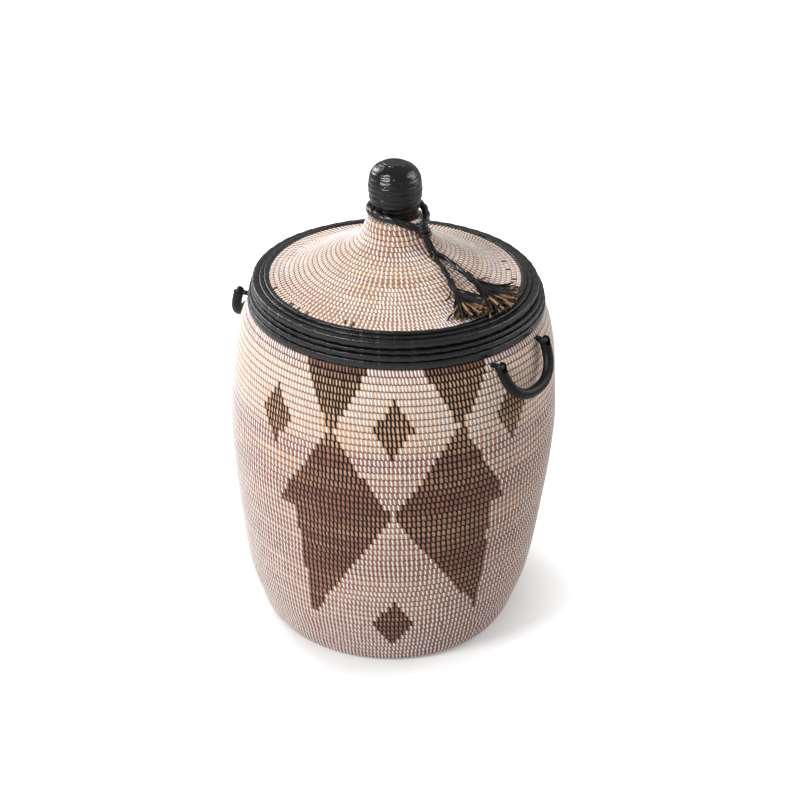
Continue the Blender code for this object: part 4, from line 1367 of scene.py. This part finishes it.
mouth_lean = float(body_lean(WALL_TOP))
for number in (1, 2, 3):
    leather_ring(
        f"body_leather_{number}", f"body_rim_coil_{number}", BODY_ROW_WIDTH, "basket_body", number,
        mouth_lean, BODY_SQUARENESS,
    )
    node = f"lid_rim_coil_{number}"
    lid_row = highest(node)[2] - lowest(node)[2]
    leather_ring(f"lid_leather_{number}", node, lid_row, "lid", number + 5, 0.0, LID_SQUARENESS)

# %% [markdown]
# Under the lid, two stitched rows of grass drop into the mouth and keep the lid in its place. No
# picture shows them, so they are made plainly, as the same coil on a straight outline.

# %% The ring that finds the mouth
LOCATING_ROWS, LOCATING_STITCHES = 2, 216
LOCATING_THICKNESS, LOCATING_GROOVE = 0.0060, 0.0010

ring_low, ring_high = lowest("lid_locating_ring"), highest("lid_locating_ring")
ring_line = np.column_stack([np.full(60, ring_high[0]), np.linspace(ring_high[2], ring_low[2], 60)])
locating = Coil(
    ring_line, LOCATING_ROWS, LOCATING_THICKNESS, LOCATING_GROOVE, "lid", "seagrass_lid"
)
ring_tints = row_tints(LOCATING_ROWS, 14)
coil_mesh("locating_grass", locating, 200, "grass_lid", "lid_locating_ring", ring_tints)
ring_turns, _ = sewn_places(locating, [LOCATING_STITCHES] * LOCATING_ROWS, 3)
ring_sewn = np.array([ring_turns, ring_turns * 0, ring_turns * 0 + WHITE_WIDTH])
stitches("locating_stitches_outer", locating, ring_sewn, "strip_lid")
stitches("locating_stitches_inner", locating, ring_sewn, "strip_lid", inside=True)
print(len(ring_turns), "stitches on the ring")

# %% [markdown]
# ## The knob
# A stub of coiled grass is wound with a leather strip, turn above turn, and closed with a round
# patch. Rubbed by hands, it is the shiniest leather on the basket. A lathe would repeat one
# outline all round, so the turns climb as a spiral and wander, and only the big form is a lathe.

# %% The wound knob
KNOB_TURNS = 9
KNOB_RADIUS = 0.0315
KNOB_RIDGE = 0.0010
KNOB_UNEVEN = 0.00035
KNOB_TILT = 0.0005
KNOB_LEATHER = ("leather_knob", "lid", "leather_knob")
KNOB_OUTLINE_SHARES = (
    (0.0, 0.850),
    (0.10, 0.845),
    (0.19, 0.885),
    (0.28, 0.940),
    (0.42, 0.990),
    (0.56, 1.0),
    (0.70, 0.975),
    (0.83, 0.895),
    (0.93, 0.750),
    (1.0, 0.500),
)


def leaning(points):
    """Points moved by the lid's lean at their height."""
    points[..., 0] += lid_lean(points[..., 2])
    return points


def knob_points():
    """Lathe of the outline plus one round ridge for each turn of the strip, and a folded base."""
    low, high = lowest("knob_cover")[2], highest("knob_cover")[2]
    azimuth = np.linspace(0, 2 * np.pi, 144, endpoint=False)[None, :]
    share = np.linspace(1, 0, 180)[:, None]
    wander = 0.10 * ripple(azimuth, (1, 2, 3), 24) + 0.06 * ripple(share * 9 + azimuth, (2, 3, 5), 25)
    row = (1 - share) * KNOB_TURNS + azimuth / (2 * np.pi) + wander * np.sin(np.pi * share)
    ridge = hump((row % 1) * 2 - 1)
    radius = KNOB_RADIUS * read_shares(KNOB_OUTLINE_SHARES, share) + 0 * azimuth
    radius += KNOB_RIDGE * (ridge - 1) * np.minimum(1, (1 - share) * 12)
    radius += KNOB_UNEVEN * ripple(azimuth + row * 1.3, (2, 5, 9, 14), 21)
    height = low + share * (high - low)
    height = height + KNOB_TILT * ripple(azimuth, (1, 3, 4), 22) * np.sin(np.pi * share)
    return leaning(at_azimuth(radius, azimuth, height))


tube_mesh("knob_leather", knob_points(), KNOB_LEATHER, ("knob_cover", "knob_core"))
print("knob", KNOB_RADIUS * 2000, "mm wide with", KNOB_TURNS, "turns")

# %% The round patch on top
PATCH_OVERLAP = 0.0016
PATCH_SINK, PATCH_RISE = 0.0012, 0.0006
PATCH_FLAT = 0.84
PATCH_CREASE = 0.0006


def patch_points():
    """Disc of rings whose edge turns down as a quarter circle, less a few creases."""
    low, high = lowest("knob_top_patch")[2], highest("knob_top_patch")[2]
    radius = highest("knob_top_patch")[0] + PATCH_OVERLAP
    azimuth = np.linspace(0, 2 * np.pi, 72, endpoint=False)[None, :]
    turn = np.concatenate([np.linspace(0.02, 0.8, 12), np.linspace(PATCH_FLAT, 1.0, 6)])[:, None]
    over = np.clip(1 - ((turn - PATCH_FLAT) / 0.16) ** 2, 0, 1)
    edge = np.where(turn < PATCH_FLAT, 1.0, np.sqrt(over))
    height = low - PATCH_SINK + (high - low + PATCH_RISE) * edge
    crease = ripple(azimuth + turn * 5, (2, 3, 5, 8), 31)
    height = height - PATCH_CREASE * np.abs(crease) * np.sin(np.pi * turn)
    reach = radius * turn * (1 + 0.03 * ripple(azimuth, (3, 5), 32))
    points = at_azimuth(reach, azimuth, height)
    points[..., 0] += lid_lean(high)
    return points


tube_mesh("knob_patch", patch_points(), KNOB_LEATHER, ("knob_top_patch",))
print("patch", round((highest("knob_top_patch")[0] + PATCH_OVERLAP) * 2000, 1), "mm wide")

# %% [markdown]
# ## The handles
# Each handle is a rope covered with a leather sleeve, bent into a U between two eyes. It is made
# in a frame of its own, with x along its hinge and y towards the basket, and turned into place by
# the packed model's joint, so that it swings on the laces and not beside them.

# %% A handle's line
HANDLE_AZIMUTHS = {"right": math.radians(51.0), "left": math.radians(-112.0)}
HANDLE_SLANTS = {"right": 0.0195, "left": 0.0115}
HANDLE_HALF_SPAN = 0.0424
HANDLE_DROP = 0.0400
HANDLE_POWER = 2 / 2.35
joints = {joint["name"]: joint for joint in frame["joints"]}


def hinge_matrix(side):
    """Place of a handle's hinge, with x along the hinge line and y towards the basket."""
    place = joints[f"{side}_handle_swing"]["pos_m"]
    return Matrix.Translation(place) @ Matrix.Rotation(HANDLE_AZIMUTHS[side], 4, "Z")


def to_world(points, matrix):
    """Points turned and moved by a 4 x 4 matrix."""
    turn = np.array(matrix)
    return points @ turn[:3, :3].T + turn[:3, 3]


def handle_line(slant):
    """Superellipse from eye to eye: w = -W cos^p, drop = H sin^p, in a slanting plane."""
    turn = np.linspace(0, np.pi, 241)
    across = -HANDLE_HALF_SPAN * rounded(np.cos(turn), HANDLE_POWER)
    drop = np.abs(np.sin(turn)) ** HANDLE_POWER
    return np.column_stack([across, -slant * drop, -HANDLE_DROP * drop])


print("a handle is", round(along(handle_line(HANDLE_SLANTS["right"]))[-1] * 1000), "mm long")

# %% The leather sleeve
HANDLE_RADIUS = 0.0062
HANDLE_CORNERS = 20
SLEEVE_TURNS_IN, SLEEVE_NECK = 0.001, 0.003
SLEEVE_PINCH = 0.86
SLEEVE_UNEVEN, SLEEVE_OVAL = 0.02, 0.025
EYE_RADIUS = 0.0069
POLE = 0.98


def handle_points(slant):
    """Sleeve along the U, with a ball of radius sqrt(R^2 - s^2) at each end."""
    line = handle_line(slant)
    length = along(line)[-1]
    steps = np.linspace(-EYE_RADIUS * POLE, length + EYE_RADIUS * POLE, 170)
    beyond = np.minimum(steps, 0) - np.maximum(steps - length, 0)
    down = unit(np.array((0, -slant, -HANDLE_DROP)))
    centres = read_line(line, np.clip(steps, 0, length)) + down * beyond[:, None]
    from_end = np.minimum(np.abs(steps), np.abs(length - steps))
    ball = np.sqrt(np.clip(EYE_RADIUS**2 - from_end**2, 0, None))
    neck = np.clip((from_end - SLEEVE_TURNS_IN) / SLEEVE_NECK, SLEEVE_PINCH, 1)
    tube = np.where(beyond == 0, HANDLE_RADIUS, 0) * neck
    bumps = 1 + SLEEVE_UNEVEN * ripple(steps / length * 40, (3, 7, 11), 41)
    radii = np.maximum(ball, tube) * bumps
    turn = np.arange(HANDLE_CORNERS) * 2 * np.pi / HANDLE_CORNERS
    uneven = 1 + SLEEVE_OVAL * ripple(turn, (2, 3), 42)
    sections = circle(HANDLE_CORNERS)[None] * radii[:, None, None] * uneven[None, :, None]
    return sweep_points(centres, sections, unit(np.array((0, HANDLE_DROP, -slant))))


print("sleeve", round(HANDLE_RADIUS * 2000, 1), "mm thick, eyes", round(EYE_RADIUS * 2000, 1), "mm")

# %% [markdown]
# An eye is cut out of the ball end with a Boolean, and a second one puts a smooth cross bar back
# for the lace. Modelled face by face, the cut would need a mesh of its own for every end. The
# result is kept in the piece's own mesh, so nothing is left to work out later.

# %% Cutters


def prism(name, outline, half_length, place, matrix):
    """Cutter with a flat outline in Y and Z, from -half_length to half_length along X."""
    outline = np.array(outline)
    count = len(outline)
    ends = [np.column_stack([np.full(count, place + x), outline]) for x in (-half_length, half_length)]
    shape = bmesh.new()
    near, far = ([shape.verts.new(point) for point in to_world(end, matrix)] for end in ends)
    for k in range(count):
        after = (k + 1) % count
        shape.faces.new((near[k], near[after], far[after], far[k]))
    shape.faces.new(near)
    shape.faces.new(far)
    bmesh.ops.recalc_face_normals(shape, faces=shape.faces)
    mesh = bpy.data.meshes.new(name)
    shape.to_mesh(mesh)
    shape.free()
    return add_object(name, mesh)


def apply_boolean(piece, tool, operation):
    """Cut or join another shape, keep the result in the piece's own mesh and drop the tool."""
    step = piece.modifiers.new("join", "BOOLEAN")
    step.operation = operation
    step.solver = "EXACT"
    step.object = tool
    bpy.context.view_layer.update()
    joined = piece.evaluated_get(bpy.context.evaluated_depsgraph_get())
    result = bpy.data.meshes.new_from_object(joined)
    piece.modifiers.remove(step)
    piece.data = result
    bpy.data.objects.remove(tool)


print("each eye takes a cut and a join")

# %% Cutting the eyes
EYE_BAR_RADIUS = 0.0020
EYE_BAR_SEAT = 0.0012
LACE_WIDTH = 0.0080
LACE_THICKNESS = 0.0015
LACE_PLAY, LACE_SIDE_PLAY = 0.0006, 0.0003
CUT_OVERRUN = 0.002


def cut_eyes(piece, matrix):
    """Open each ball end round its lace and leave a smooth cross bar for the lace to turn on."""
    clear = EYE_BAR_RADIUS + LACE_THICKNESS + LACE_PLAY
    shoulder = clear * 0.9
    reach = EYE_RADIUS + CUT_OVERRUN
    start = math.asin(-shoulder / clear)
    turn = np.linspace(start, -math.pi - start, 17)
    arc = np.column_stack([clear * np.cos(turn), clear * np.sin(turn)])
    outline = [(reach, reach), (reach, -shoulder), *arc, (-reach, -shoulder), (-reach, reach)]
    half = LACE_WIDTH / 2 + LACE_SIDE_PLAY
    bar = circle(16) * EYE_BAR_RADIUS
    for place in (-HANDLE_HALF_SPAN, HANDLE_HALF_SPAN):
        apply_boolean(piece, prism("eye_cut", outline, half, place, matrix), "DIFFERENCE")
        bar_tool = prism("eye_bar", bar, half + EYE_BAR_SEAT, place, matrix)
        apply_boolean(piece, bar_tool, "UNION")


print("an eye is", (LACE_WIDTH + 2 * LACE_SIDE_PLAY) * 1000, "mm wide")

# %% [markdown]
# A leather lace goes through each eye and into the wall, and is knotted inside. Its two runs come
# together as they enter the wall. The knot could follow a real one's path, but inside the basket
# two tilted turns of cord read the same.

# %% A lace's way
LACE_TAIL = 0.0291
LACE_SPREAD = 0.00625
LACE_GAP, LACE_PAIR_GAP = 0.0003, 0.00015


def lace_line():
    """Out of the wall, round the bar and back: two runs that come together at the wall."""
    near = EYE_BAR_RADIUS + LACE_GAP + LACE_THICKNESS / 2
    together = LACE_THICKNESS / 2 + LACE_PAIR_GAP
    run = np.append(LACE_TAIL, np.linspace(LACE_SPREAD, 0, 9)[:-1])
    ease = 0.5 + 0.5 * np.cos(np.pi * np.minimum(run / LACE_SPREAD, 1))
    inward = np.column_stack([run, together + (near - together) * ease])
    turn = np.linspace(np.pi / 2, 1.5 * np.pi, 15)
    bend = near * np.column_stack([np.cos(turn), np.sin(turn)])
    return np.vstack([inward, bend, (inward * (1, -1))[::-1]])


print("a lace is", round(along(lace_line())[-1] * 1000, 1), "mm long")

# %% A lace and its knot
LACE_CORNERS = 12
LACE_SOFTNESS = 0.5
KNOT_RINGS = ((-0.0018, 0.2), (0.0018, -0.15))
KNOT_HEIGHT, KNOT_DEPTH, KNOT_CORD = 0.0034, 0.0030, 0.0022
LACE_LEATHER = ("leather_handle", "basket_body", "leather_lace")
ALONG_HINGE = np.array((1.0, 0, 0))


def make_lace(side, end, place):
    """Flat lace with soft edges, and two turns of cord for its knot inside the wall."""
    matrix, node = hinge_matrix(side), f"{side}_handle_lace_{end}"
    flat = lace_line()
    turn = 2 * np.pi * (np.arange(LACE_CORNERS) + 0.5) / LACE_CORNERS
    section = rounded(np.array([np.cos(turn), np.sin(turn)]), LACE_SOFTNESS).T
    section = section * (LACE_WIDTH / 2, LACE_THICKNESS / 2)
    centres = np.column_stack([np.full(len(flat), place), flat])
    local = sweep_points(centres, section, ALONG_HINGE)
    tube_mesh(f"{node}_leather", to_world(local, matrix), LACE_LEATHER, (node,))
    turn = np.linspace(0, 2 * np.pi, 28, endpoint=False)
    up = KNOT_HEIGHT * np.sin(turn)
    loops = []
    for offset, tilt in KNOT_RINGS:
        ring = np.column_stack([offset + tilt * up, KNOT_DEPTH * np.cos(turn), up])
        ring = np.array((place, LACE_TAIL, 0.0)) + ring
        loops.append(closed_sweep(ring, KNOT_CORD, 10, ALONG_HINGE))
    tube_mesh(f"{node}_knot", to_world(np.array(loops), matrix), LACE_LEATHER, closed=True)


print("a lace's knot has", len(KNOT_RINGS), "turns")

# %% Both handles
for side in HANDLE_AZIMUTHS:
    matrix = hinge_matrix(side)
    sleeve = tube_mesh(
        f"{side}_handle_leather", to_world(handle_points(HANDLE_SLANTS[side]), matrix),
        ("leather_handle", f"{side}_handle", "leather_handle"),
        (f"{side}_handle_core", f"{side}_handle_grip"),
    )
    cut_eyes(sleeve, matrix)
    make_lace(side, "front", -HANDLE_HALF_SPAN)
    make_lace(side, "back", HANDLE_HALF_SPAN)
    print(side, "handle of", len(sleeve.data.polygons), "faces, with two laces")

# %% [markdown]
# ## The floor
# The picture has a white ground with one faint soft shadow. More light would bleach the basket
# with it, so the white comes from a glow that only the camera sees. It grows with the distance
# from the basket, and the shadow stays where the glow is weak.

# %% The floor and its glow
FLOOR_GREY = (0.66, 0.66, 0.66)
FLOOR_GLOWS = (0.20, 0.99)
GLOW_STARTS, GLOW_ENDS = 0.155, 0.31
FLOOR_EDGE, FLOOR_DROP = 8.0, -0.0005

look = Look("floor")
away = look.node("VectorMath", {0: look.node("TexCoord", output=3)}, output=1, operation="LENGTH")
glow = between(FLOOR_GLOWS, look.limits(away, GLOW_STARTS, GLOW_ENDS))
look.finish(
    Base_Color=FLOOR_GREY,
    Roughness=0.9,
    Specular_IOR_Level=0.1,
    Emission_Color=look.shade((1.0, 1.0, 1.0), glow * look.node("LightPath")),
    Emission_Strength=1.0,
)

floor = add_object("floor", bpy.data.meshes.new("floor"))
corners = [(x * FLOOR_EDGE, y * FLOOR_EDGE, FLOOR_DROP) for x, y in ((-1, -1), (1, -1), (1, 1), (-1, 1))]
floor.data.from_pydata(corners, [], [(0, 1, 2, 3)])
floor.data.materials.append(LOOKS["floor"])
print("floor", 2 * FLOOR_EDGE, "m wide")

# %% [markdown]
# ## The light
# An even sky lights the basket from all sides, and the camera sees white in its place. Alone it
# would leave the rows flat. Three round lamps give them form: the strongest in front on the left,
# a weaker one behind on the left for the gleam of the leather, and a broad one on the right.

# %% The sky
SKY_LIGHT = 0.37
WHITE = (1.0, 1.0, 1.0, 1.0)

world = bpy.data.worlds.new("sky")
bpy.context.scene.world = world
world.use_nodes = True
tree = world.node_tree
light = tree.nodes["Background"]
light.inputs["Color"].default_value = WHITE
light.inputs["Strength"].default_value = SKY_LIGHT
white = tree.nodes.new("ShaderNodeBackground")
white.inputs["Color"].default_value = WHITE
seen = tree.nodes.new("ShaderNodeLightPath")
choose = tree.nodes.new("ShaderNodeMixShader")
tree.links.new(seen.outputs["Is Camera Ray"], choose.inputs[0])
tree.links.new(light.outputs[0], choose.inputs[1])
tree.links.new(white.outputs[0], choose.inputs[2])
tree.links.new(choose.outputs[0], tree.nodes["World Output"].inputs["Surface"])
print("sky of", SKY_LIGHT)

# %% The lamps
LOOK_AT = np.array((0, 0, 0.3))
LAMPS = {
    "key": {"azimuth": -50.0, "reach": 2.1, "height": 1.8, "size": 0.7, "power": 52.0},
    "side": {"azimuth": -135.0, "reach": 1.8, "height": 1.35, "size": 0.9, "power": 22.0},
    "fill": {"azimuth": 104.0, "reach": 2.2, "height": 1.7, "size": 1.4, "power": 25.0},
}


def area_light(name, azimuth, reach, height, size, power):
    """Round lamp at an azimuth, turned so that its -Z looks at the basket's middle."""
    light = bpy.data.lights.new(name, "AREA")
    light.shape = "DISK"
    light.size = size
    light.energy = power
    place = at_azimuth(reach, math.radians(azimuth), height)
    backwards = unit(place - LOOK_AT)
    right = unit(np.cross(UP, backwards))
    turned = np.eye(4)
    turned[:3] = np.column_stack([right, np.cross(backwards, right), backwards, place])
    add_object(name, light).matrix_world = Matrix(turned)
    print(name, "lamp of", power, "W")


for name, lamp in LAMPS.items():
    area_light(name, **lamp)

# %% [markdown]
# ## Finish
